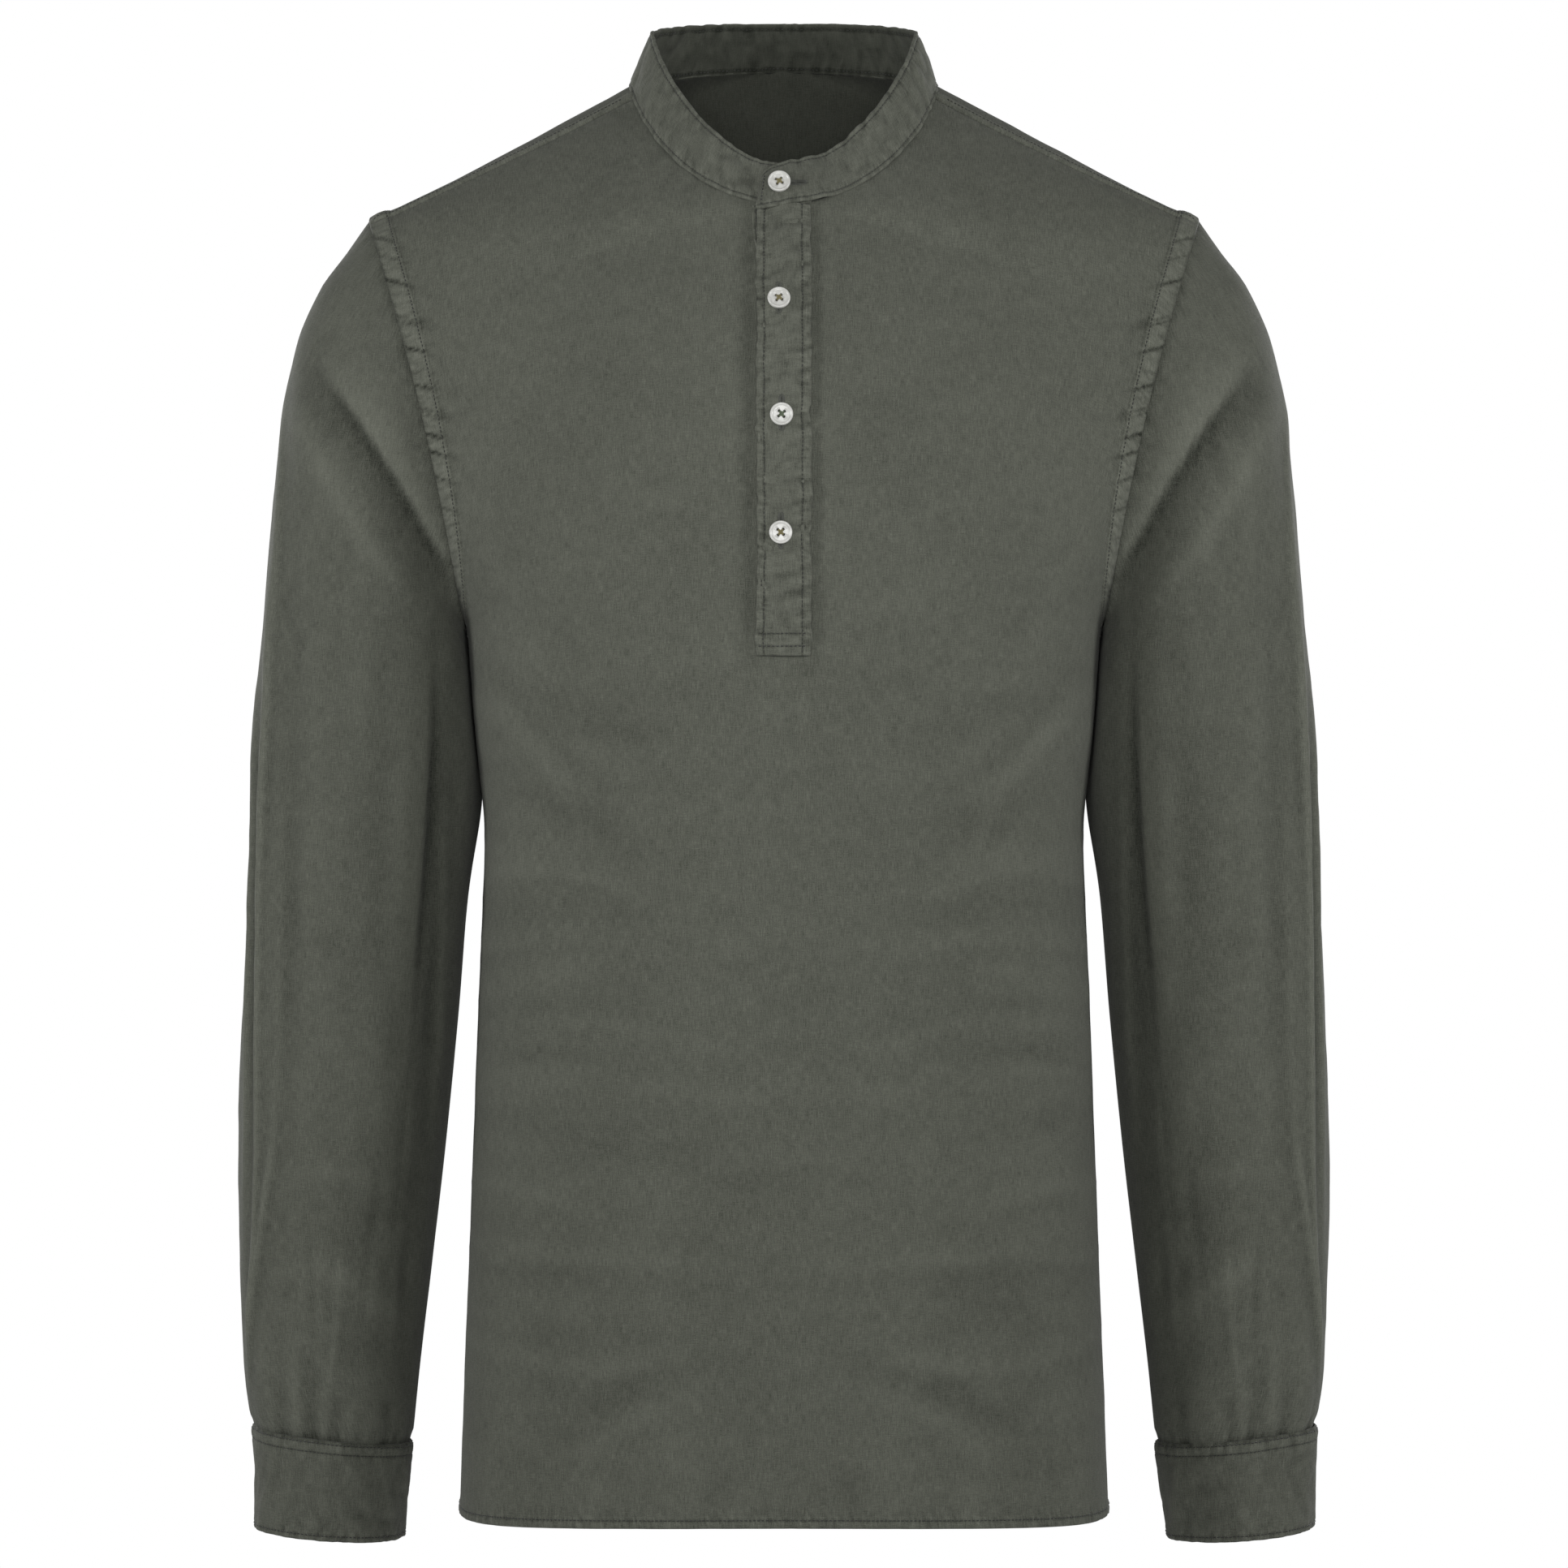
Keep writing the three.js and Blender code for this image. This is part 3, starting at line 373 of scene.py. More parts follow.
# ---------------------------------------------------------------- cloth
@dataclass
class Cloth:
    """A grid of points on a piece's outer face, (rows, columns, 3), in millimetres.

    At each point, grain holds the cloth's own two directions, height how far folds have moved it,
    raised how far the outer face alone stands out, the painted shading a painted highlight (above 0)
    or painted shade in creases and hollows (below 0), and drawn how much stitching across it (above
    0) or up it (below 0) gathers it; missing marks the quads that aren't cloth. A round cloth joins
    its last column to its first, and its grain has one column more, for the way round.
    """

    place: Array
    grain: Array
    wall: float
    round: bool = False
    # painted shade on the inner face: how much darker it looks
    inner_painted_shade: float = 1.0  # how much darker its inner face looks
    height: Array | None = None
    raised: Array | None = None
    worn: Array | None = None
    drawn: Array | None = None
    missing: Array | None = None
    LAYERS: ClassVar[tuple[str, ...]] = ("height", "raised", "worn", "drawn")

    def __post_init__(self) -> None:
        """Fills in what wasn't given."""
        rows, columns = self.place.shape[:2]
        for name in self.LAYERS:
            if getattr(self, name) is None:
                setattr(self, name, np.zeros((rows, columns)))
        if self.missing is None:
            self.missing = np.zeros((rows - 1, columns - (not self.round)), bool)

    def numbers(self) -> Array:
        """The points' numbers, as a grid that comes back to its first column if it is round."""
        rows, columns = self.place.shape[:2]
        number = np.arange(rows * columns).reshape(rows, columns)
        return np.concatenate([number, number[:, :1]], axis=1) if self.round else number

    def quads(self, number: Array) -> Array:
        """The corners of every quad, turning left round its outward direction."""
        corners = (number[:-1, :-1], number[:-1, 1:], number[1:, 1:], number[1:, :-1])
        return np.stack(corners, axis=-1)[~self.missing]

    def mirror(self) -> "Cloth":
        """The same cloth on the wearer's other side."""
        layers = (mirrored(self.place), *(getattr(self, name) for name in self.LAYERS))
        place, *layers = (np.roll(each[:, ::-1], int(self.round), axis=1) for each in layers)
        missing = self.missing[:, ::-1]
        return Cloth(place, self.grain[:, ::-1], self.wall, self.round, self.inner_painted_shade, *layers, missing)

    def shade_relief(self, near: int = 5, far: int = 32, depth: float = 0.5, wide: float = 1.0) -> None:
        """Paints a highlight on what stands out of its surroundings, and shade on what lies deep.

        Args:
            near: How many grid steps its close surroundings reach.
            far: How many its wider ones reach.
            depth: The height that makes a full difference close by; four times that, further off.
            wide: How much the wider surroundings count.
        """
        total = self.height + self.raised
        level = total
        for step in range(far):
            level = blurred(level, self.round)
            if step + 1 == near:
                self.worn += np.clip((total - level) / depth, -1.6, 1.2)
        self.worn += wide * np.clip((total - level) / (4 * depth), -1.6, 0.8)

    def outward(self) -> Array:
        """The outward direction at every point, weighted by area.

        Returns:
            Directions of length 1, (rows, columns, 3).
        """
        flat = self.place.reshape(-1, 3)
        quads = self.quads(self.numbers())
        a, b, c, d = (flat[quads[:, i]] for i in range(4))
        facing = np.cross(c - a, d - b)
        total = np.zeros_like(flat)
        for corner in range(4):
            np.add.at(total, quads[:, corner], facing)
        return unit(total).reshape(self.place.shape)

    def push(self, height: Array) -> None:
        """Moves the points out by a height."""
        self.place = self.place + self.outward() * height[..., None]
        self.height += height

    def outer(self) -> Array:
        """The outer face's points, with what is raised."""
        return self.place + self.outward() * self.raised[..., None]

    def line(self, row: float | slice, column: float | slice, inside: bool = False) -> "SeamLine":
        """A line over the cloth for stitching.

        Args:
            row: Its row number, or the rows that it crosses.
            column: Its column number, or the columns that it crosses.
            inside: On the inner face.

        Returns:
            The line, with the outward directions along it.
        """
        outward = self.outward()
        face = self.place - outward * self.wall if inside else self.outer()
        outward = -outward if inside else outward
        if isinstance(row, slice):
            return SeamLine(*(self._between(each[row], column, 1) for each in (face, outward)))
        picked = (self._between(each, row, 0)[column] for each in (face, outward))
        return SeamLine(*picked, closed=self.round and column == slice(None))

    @staticmethod
    def _between(values: Array, number: float, axis: int) -> Array:
        """One row or column of a grid, at a number that may lie between two of them."""
        number = number % values.shape[axis]
        low = min(int(number), values.shape[axis] - 2)
        pair = np.take(values, [low, low + 1], axis=axis)
        first, second = np.moveaxis(pair, axis, 0)
        return mix(first, second, number - low)

    def to_object(self, name: str, finish: Finish) -> Object:
        """The closed piece: outer face, inner face and rounded rims.

        Args:
            name: The piece's name.
            finish: Its material.

        Returns:
            The new object, linked to the scene.
        """
        outward = self.outward().reshape(-1, 3)
        flat = self.place.reshape(-1, 3)
        outer = self.outer().reshape(-1, 3)
        inner = flat - outward * self.wall
        number = self.numbers()
        quads = self.quads(number)
        spots = self.quads(np.arange(number.size).reshape(number.shape))
        rims, rim_spots = self._rims(quads, spots)
        edge_out = self._edge_directions(flat, outward, rims)
        thickness = np.linalg.norm(outer - inner, axis=1, keepdims=True)
        middle = (outer + inner) / 2 + edge_out * thickness * 0.42
        count = len(flat)
        start, end = rims.T
        first, last = rim_spots.T
        faces = (
            quads,
            quads[:, ::-1] + count,
            np.stack([end, start, start + 2 * count, end + 2 * count], axis=1),
            np.stack([end + 2 * count, start + 2 * count, start + count, end + count], axis=1),
        )
        rim_grain = np.stack([last, first, first, last], axis=1)
        grain = self.grain.reshape(-1, 2)[np.concatenate([spots, spots[:, ::-1], rim_grain, rim_grain])]
        extra = {
            # The painted shading is kept on both faces and raised by 0.7 on the rims, which paints them
            # lighter; inside is painted shade that darkens the inner face, most on the collar, and the rims a
            # little.
            "worn": np.concatenate([np.tile(self.worn.reshape(-1), 2), self.worn.reshape(-1) + 0.7]),
            "inside": np.repeat([0.0, self.inner_painted_shade, 0.3], count),
            "drawn": np.tile(self.drawn.reshape(-1), 3),
        }
        every = np.concatenate([outer, inner, middle])
        return mesh_object(name, every, np.concatenate(faces), finish, grain, extra)

    @staticmethod
    def _rims(quads: Array, spots: Array) -> tuple[Array, Array]:
        """The edges that only one quad has, in that quad's direction.

        Args:
            quads: The quads' corners, as point numbers.
            spots: The same, as places on the unrolled grid.

        Returns:
            The edges in both numberings.
        """
        sides = [[i, (i + 1) % 4] for i in range(4)]
        edges, places = (np.concatenate([each[:, side] for side in sides]) for each in (quads, spots))
        size = int(edges.max()) + 1
        forward = edges[:, 0] * size + edges[:, 1]
        backward = edges[:, 1] * size + edges[:, 0]
        alone = ~np.isin(forward, backward)
        return edges[alone], places[alone]

    @staticmethod
    def _edge_directions(flat: Array, outward: Array, rims: Array) -> Array:
        """At the points on a rim, the direction away from the cloth in its own surface."""
        along = unit(flat[rims[:, 1]] - flat[rims[:, 0]])
        away = np.zeros_like(flat)
        for corner in range(2):
            np.add.at(away, rims[:, corner], np.cross(along, outward[rims[:, corner]]))
        return unit(away) * (np.linalg.norm(away, axis=1, keepdims=True) > 0)


@dataclass
class SeamLine:
    """Places along a seam and the outward direction at each."""

    place: Array
    outward: Array
    closed: bool = False


def linked(name: str, data: bpy.types.ID, finish: Finish | None = None) -> Object:
    """Puts data into the scene as an object.

    Args:
        name: The object's name.
        data: Its mesh, light or camera.
        finish: A mesh's only material, or None to keep what it has.

    Returns:
        The new object.
    """
    if finish is not None:
        data.materials.clear()
        data.materials.append(finish)
    piece = bpy.data.objects.new(name, data)
    bpy.context.scene.collection.objects.link(piece)
    return piece


def written(edit: bmesh.types.BMesh, name: str) -> Mesh:
    """A mesh from an edited one, which is freed."""
    mesh = bpy.data.meshes.new(name)
    edit.to_mesh(mesh)
    edit.free()
    return mesh


def closed_smoothly(edit: bmesh.types.BMesh) -> None:
    """Turns every face outwards and shades it smooth."""
    bmesh.ops.recalc_face_normals(edit, faces=edit.faces)
    for face in edit.faces:
        face.smooth = True


def evaluated_mesh(piece: Object, *leftovers: Object) -> Mesh:
    """The plain mesh that an object's modifiers make.

    Args:
        piece: The object, which is removed.
        *leftovers: Others that are removed with it.

    Returns:
        The mesh.
    """
    result = bpy.data.meshes.new_from_object(piece.evaluated_get(bpy.context.evaluated_depsgraph_get()))
    for each in (piece, *leftovers):
        mesh = each.data
        bpy.data.objects.remove(each)
        bpy.data.meshes.remove(mesh)
    return result


def mesh_object(
    name: str,
    place: Array,
    faces: Array,
    finish: Finish,
    grain: Array | None = None,
    extra: dict[str, Array] | None = None,
) -> Object:
    """Writes points and faces as a smooth mesh object in metres.

    Args:
        name: The object's name.
        place: Points in millimetres.
        faces: Corners of the quads; points that no face uses are dropped.
        finish: The material.
        grain: Two coordinates a corner in millimetres, kept as a UV map in metres.
        extra: Named numbers a point, kept as attributes.

    Returns:
        The new object, linked to the scene.
    """
    used = np.unique(faces)
    renumbered = np.zeros(len(place), int)
    renumbered[used] = np.arange(len(used))
    corners = renumbered[faces]
    mesh = bpy.data.meshes.new(name)
    mesh.vertices.add(len(used))
    mesh.vertices.foreach_set("co", (place[used] * MM).astype(np.float32).ravel())
    mesh.loops.add(corners.size)
    mesh.loops.foreach_set("vertex_index", corners.astype(np.int32).ravel())
    mesh.polygons.add(len(corners))
    mesh.polygons.foreach_set("loop_start", np.arange(0, corners.size, 4, dtype=np.int32))
    mesh.update(calc_edges=True)
    mesh.polygons.foreach_set("use_smooth", np.ones(len(mesh.polygons), bool))
    if grain is not None:
        layer = mesh.uv_layers.new(name="grain")
        layer.uv.foreach_set("vector", (grain * MM).astype(np.float32).ravel())
    for key, values in (extra or {}).items():
        attribute = mesh.attributes.new(key, "FLOAT", "POINT")
        attribute.data.foreach_set("value", values[used].astype(np.float32))
    return linked(name, mesh, finish)


# ---------------------------------------------------------------- seams of the body
@dataclass(frozen=True)
class NeckSeam:
    """Where the collar stands on the body, by the angle from centre front."""

    half_width: float = 79
    centre_y: float = 3
    front: float = 85
    back: float = 55
    front_drop: float = 69.5
    back_rise: float = 14
    drop_power: float = 1.35

    def at(self, angle: Array) -> Array:
        """Points of the seam at angles in degrees.

        Args:
            angle: Angles from centre front.

        Returns:
            The points.
        """
        turn = np.cos(np.radians(angle))
        rise = np.where(turn > 0, -self.front_drop, self.back_rise)
        return points(
            self.half_width * np.sin(np.radians(angle)),
            self.centre_y - self.reach(turn) * turn,
            rise * np.abs(turn) ** self.drop_power,
        )

    def reach(self, turn: Array) -> Array:
        """The seam's depth from its centre, before it (turn above 0) or behind it."""
        return np.where(np.asarray(turn) > 0, self.front, self.back)


@dataclass(frozen=True)
class ArmholeSeam:
    """The armhole, by the angle from its top: positive down the front, negative down the back."""

    top_x: float = 214
    bottom_x: float = 163.5
    top_z: float = -70
    bottom_z: float = -283
    front_depth: float = 60
    back_depth: float = 64
    top_y: float = 4
    front_inset: float = 6
    back_inset: float = 3

    def at(self, angle: Array) -> Array:
        """Points of the seam at angles in degrees, on the wearer's left.

        Args:
            angle: Angles from the top.

        Returns:
            The points.
        """
        turn, swing = np.cos(np.radians(angle)), np.sin(np.radians(angle))
        down = (1 - turn) / 2
        inset = np.where(swing > 0, self.front_inset, self.back_inset)
        depth = np.where(swing > 0, self.front_depth, self.back_depth)
        return points(
            mix(self.top_x, self.bottom_x, down) - inset * swing**2,
            self.top_y * (1 - down) - depth * swing,
            mix(self.top_z, self.bottom_z, down),
        )


NECK = NeckSeam()
ARMHOLE = ArmholeSeam()

SIDE_SECTIONS = Table(
    "level side full drop",
    (-731, 167.2, 0.8, 4.5),
    (-675, 165.3, 0.75, 2),
    (-620, 163.2, 0.7, 0),
    (-553, 160.8, 0.68, 0),
    (-485, 158.3, 0.66, 0),
    (-430, 156.0, 0.65, 0),
    (-385, 154.8, 0.65, 0),
    (-336, 159.4, 0.65, 0),
    (-283, 163.5, 0.65, 0),
)
CENTRE_FRONT = Table(
    "level depth",
    (-731, -124),
    (-620, -121),
    (-485, -119),
    (-385, -121),
    (-336, -126),
    (-283, -130),
    (-235, -132),
    (-190, -129),
    (-150, -121),
    (-110, -105),
    (-69.5, -82),
)
CENTRE_BACK = Table(
    "level depth",
    (-731, 122),
    (-620, 116),
    (-485, 109),
    (-385, 107),
    (-283, 118),
    (-230, 122),
    (-180, 121),
    (-130, 114),
    (-80, 100),
    (-33, 80),
    (14, 58),
)
ROW_COLUMNS = "arm level neck in_x in_y in_z out_x out_y out_z"
SHOULDER_ROW = (16, NONE, 78, 40, -13, -24, 38, 15, -16)
CHEST_ROWS = Table(
    ROW_COLUMNS,
    (150, -235, NONE, 103, 0, -2, 14, 60, 0),
    (125, -190, NONE, 98, 0, -4, 26, 48, 0),
    (100, -150, NONE, 92, 0, -6, 36, 37, -2),
    (80, -110, NONE, 84, -2, -9, 42, 31, -5),
    (62, NONE, 0, 70, -8, -11, 44, 26, -9),
    (47, NONE, 26, 54, -15, -15, 41, 21, -13),
    (32, NONE, 52, 44, -16, -21, 38, 18, -17),
    SHOULDER_ROW,
)
UPPER_BACK_ROWS = Table(
    ROW_COLUMNS,
    (-150, -230, NONE, 104, 0, -1, 12, -60, 0),
    (-124, -180, NONE, 102, 0, -3, 22, -50, 0),
    (-100, -130, NONE, 98, 0, -6, 32, -42, -4),
    (-80, -80, NONE, 92, 1, -9, 40, -36, -12),
    (-62, -33, NONE, 82, 4, -12, 46, -28, -20),
    (-46, NONE, 180, 68, 7, -12, 48, -20, -26),
    (-32, NONE, 150, 50, 4, -15, 46, -12, -26),
    (-16, NONE, 120, 44, 2, -22, 42, -5, -20),
    (0, NONE, 96, 42, -3, -24, 40, 4, -18),
    SHOULDER_ROW,
)
UNDERARM_ROW = len(SIDE_SECTIONS.rows) - 1


class HalfPanel:
    """The surface of half a front or back: rows from the hem to the shoulder seam, and along each
    row a share from the centre line or neck (0) to the side seam or armhole (1)."""

    def __init__(self, centre: Table, upper: Table) -> None:
        """Joins the rows below the underarm to those above it.

        Args:
            centre: The centre line.
            upper: The rows above the underarm.
        """
        self.centre = centre
        facing = np.sign(centre.column("depth")[0])
        levels = SIDE_SECTIONS.column("level")
        full = SIDE_SECTIONS.column("full")
        blank = np.zeros(len(levels))
        depth = np.abs(self.depth_at(levels))
        lower = [full * SIDE_SECTIONS.column("side"), blank, blank, blank, -facing * full * depth, blank]
        handles = np.concatenate([np.stack(lower, axis=1), upper.rows[:, 3:]])
        self.handles = Table("in_x in_y in_z out_x out_y out_z", *handles)
        below_neck = upper.column("level")[~np.isnan(upper.column("level"))]
        self.levels = np.concatenate([levels, below_neck, centre.column("level")[-1:]])
        self.neck_row = len(self.levels) - 1
        self.neck_angles = upper.column("neck")[~np.isnan(upper.column("neck"))]
        half_turn = 180 * np.sign(upper.column("arm")[0])
        self.arm_angles = np.concatenate([np.full(len(levels), half_turn), upper.column("arm")])
        self.top_row = len(self.arm_angles) - 1

    def depth_at(self, level: Array) -> Array:
        """Depth of the centre line at a height."""
        return self.centre.at("depth", self.centre.row_of("level", level))

    def arm_angle(self, row: Array) -> Array:
        """Angle on the armhole at row numbers."""
        return np.interp(row, np.arange(len(self.arm_angles)), self.arm_angles)

    def neck_angle(self, row: Array) -> Array:
        """Angle on the neck seam at row numbers."""
        return np.interp(row - self.neck_row, np.arange(len(self.neck_angles)), self.neck_angles)

    def inner(self, row: Array) -> Array:
        """Where the rows begin."""
        level = np.interp(row, np.arange(len(self.levels)), self.levels)
        centre = points(0 * level, self.depth_at(level), level)
        neck = NECK.at(self.neck_angle(row))
        return np.where((row >= self.neck_row)[..., None], neck, centre)

    def outer(self, row: Array) -> Array:
        """Where the rows end."""
        side = SIDE_SECTIONS.at("side", np.minimum(row, UNDERARM_ROW))
        level = SIDE_SECTIONS.at("level", np.minimum(row, UNDERARM_ROW))
        drop = SIDE_SECTIONS.at("drop", np.minimum(row, UNDERARM_ROW))
        arm = ARMHOLE.at(self.arm_angle(row))
        return np.where((row > UNDERARM_ROW)[..., None], arm, points(side, 0 * side, level - drop))

    def point(self, row: Array, share: Array) -> Array:
        """Points at row numbers and shares, which broadcast against each other.

        Args:
            row: Row numbers.
            share: Shares of the way along each row.

        Returns:
            The points.
        """
        row, share = np.broadcast_arrays(np.asarray(row, float), np.asarray(share, float))
        start, end = self.inner(row), self.outer(row)
        lead = points(*(self.handles.at(f"in_{axis}", row) for axis in "xyz"))
        trail = points(*(self.handles.at(f"out_{axis}", row) for axis in "xyz"))
        t = share[..., None]
        s = 1 - t
        return s**3 * start + 3 * s * s * t * (start + lead) + 3 * s * t * t * (end - trail) + t**3 * end

    def row_at_level(self, level: Array) -> Array:
        """The row number whose centre lies at a height."""
        return np.interp(level, self.levels, np.arange(len(self.levels)))


FRONT_HALF = HalfPanel(CENTRE_FRONT, CHEST_ROWS)
BACK_HALF = HalfPanel(CENTRE_BACK, UPPER_BACK_ROWS)


# ---------------------------------------------------------------- creases of the body
FRONT_FOLDS = (
    Fold((163, -300), (62, -345), 13, -0.9),
    Fold((160, -350), (75, -392), 12, -1.1),
    Fold((156, -392), (85, -404), 11, 0.55),
    Fold((158, -425), (60, -428), 13, -0.77),
    Fold((160, -470), (95, -452), 12, 0.75),
    Fold((160, -520), (80, -548), 15, -0.9),
    Fold((165, -612), (95, -600), 14, -0.9),
    Fold((52, -740), (66, -560), 22, 1),
    Fold((128, -740), (118, -600), 18, -1.1),
    Fold((30, -186), (118, -140), 15, -0.7),
    # the front beside the opening
    Fold((17, -84), (17.5, -300), 6.5, -0.85, one_side=-1),
    Fold((15.5, -84), (15.5, -303), 3.2, -0.55, one_side=1),
    Fold((0, -303), (22, -303), 4.0, -0.45),
    # finer ones over them
    Fold((158, -414), (70, -420), 5.5, 0.41, bow=11, skew=0.4),
    Fold((156, -446), (62, -446), 6, 0.36, bow=8, skew=0.3),
    Fold((157, -487), (48, -492), 6.5, 0.44, bow=9, skew=-0.3),
    Fold((150, -505), (96, -498), 5, -0.45, bow=4),
    Fold((84, -509), (-40, -513), 8, 0.45, bow=-6),
    Fold((158, -566), (100, -576), 6, 0.6, bow=5, skew=0.3),
    Fold((160, -603), (20, -606), 7, 0.51, bow=7, skew=0.35),
    Fold((162, -642), (52, -646), 8, 0.68, bow=-8, skew=0.3),
    Fold((120, -688), (34, -650), 9, -0.68, bow=5),
    Fold((108, -706), (60, -672), 7, 0.52, bow=3),
    Fold((38, -742), (32, -700), 9, -0.52),
    Fold((99, -742), (92, -706), 9, 0.6),
    Fold((147, -742), (150, -690), 7, 0.45),
    Fold((152, -320), (96, -392), 6, 0.52, bow=6, skew=0.3),
    Fold((150, -300), (84, -366), 6, -0.45, bow=-5),
    Fold((160, -262), (104, -296), 9, -0.68, bow=5),
    Fold((152, -236), (120, -286), 7, 0.45, bow=-4),
    Fold((22, -164), (70, -178), 6, -0.34, bow=3),
    Fold((22, -236), (62, -252), 6, -0.3, bow=-3),
    Fold((88, -40), (150, -118), 14, -0.6, bow=8),
    Fold((176, -96), (120, -92), 10, 0.52, bow=6),
)
BACK_FOLDS = (
    Fold((163, -290), (70, -360), 14, -2.0),
    Fold((158, -370), (60, -400), 15, -2.4),
    Fold((158, -450), (80, -430), 15, 1.8),
    Fold((30, -740), (40, -480), 24, 2.4),
    Fold((95, -740), (85, -520), 22, -2.6),
    Fold((150, -740), (140, -600), 18, 2.0),
    Fold((165, -150), (110, -260), 17, -2.4),
    # finer ones over them
    Fold((158, -408), (66, -416), 6, 0.9, bow=10, skew=0.4),
    Fold((157, -438), (40, -452), 7, -0.9, bow=8, skew=0.3),
    Fold((158, -478), (70, -470), 6, 0.8, bow=-6),
    Fold((158, -520), (84, -536), 7, 0.9, bow=7, skew=-0.3),
    Fold((160, -574), (96, -570), 6, -0.8, bow=5),
    Fold((162, -628), (60, -620), 8, 0.9, bow=8, skew=0.3),
    Fold((120, -700), (70, -640), 8, -0.8, bow=6),
    Fold((150, -306), (92, -384), 6, 0.8, bow=6, skew=0.3),
    Fold((168, -190), (128, -262), 6, 0.9, bow=5),
    Fold((60, -60), (120, -130), 13, -0.8, bow=8),
    Fold((20, -60), (24, -210), 15, 0.7, bow=4),
)


SIDE_SEED = 77  # the gathers of the side seams
STRIP_REACHES = ((-124.5, 1.0), (-172, 0.8), (-193, 0.5))  # creases that run out beside a strip
FRONT_STRIP_CREASES = (
    (-82, 0.6, 1.8),
    (-92, 0.35, 1.4),
    (-105, 0.8, 1.6),
    (-124, 0.5, 1.6),
    (-126.5, 0.6, 1.2),
    (-140, 1.0, 1.5),
    (-159, 0.9, 1.4),
    (-171, 0.6, 1.6),
    (-173.5, 0.6, 1.2),
    (-184, 0.8, 1.5),
    (-193, 0.9, 1.5),
    (-206, 0.7, 1.7),
    (-221, 0.6, 1.6),
)
BACK_STRIP_CREASES = (
    (-86, 0.7, 1.7),
    (-99, 0.5, 1.4),
    (-113, 0.9, 1.6),
    (-131, 0.8, 1.5),
    (-146, 0.5, 1.3),
    (-154, 0.9, 1.6),
    (-175, 0.8, 1.5),
    (-190, 0.6, 1.6),
    (-204, 0.9, 1.5),
    (-222, 0.6, 1.7),
)


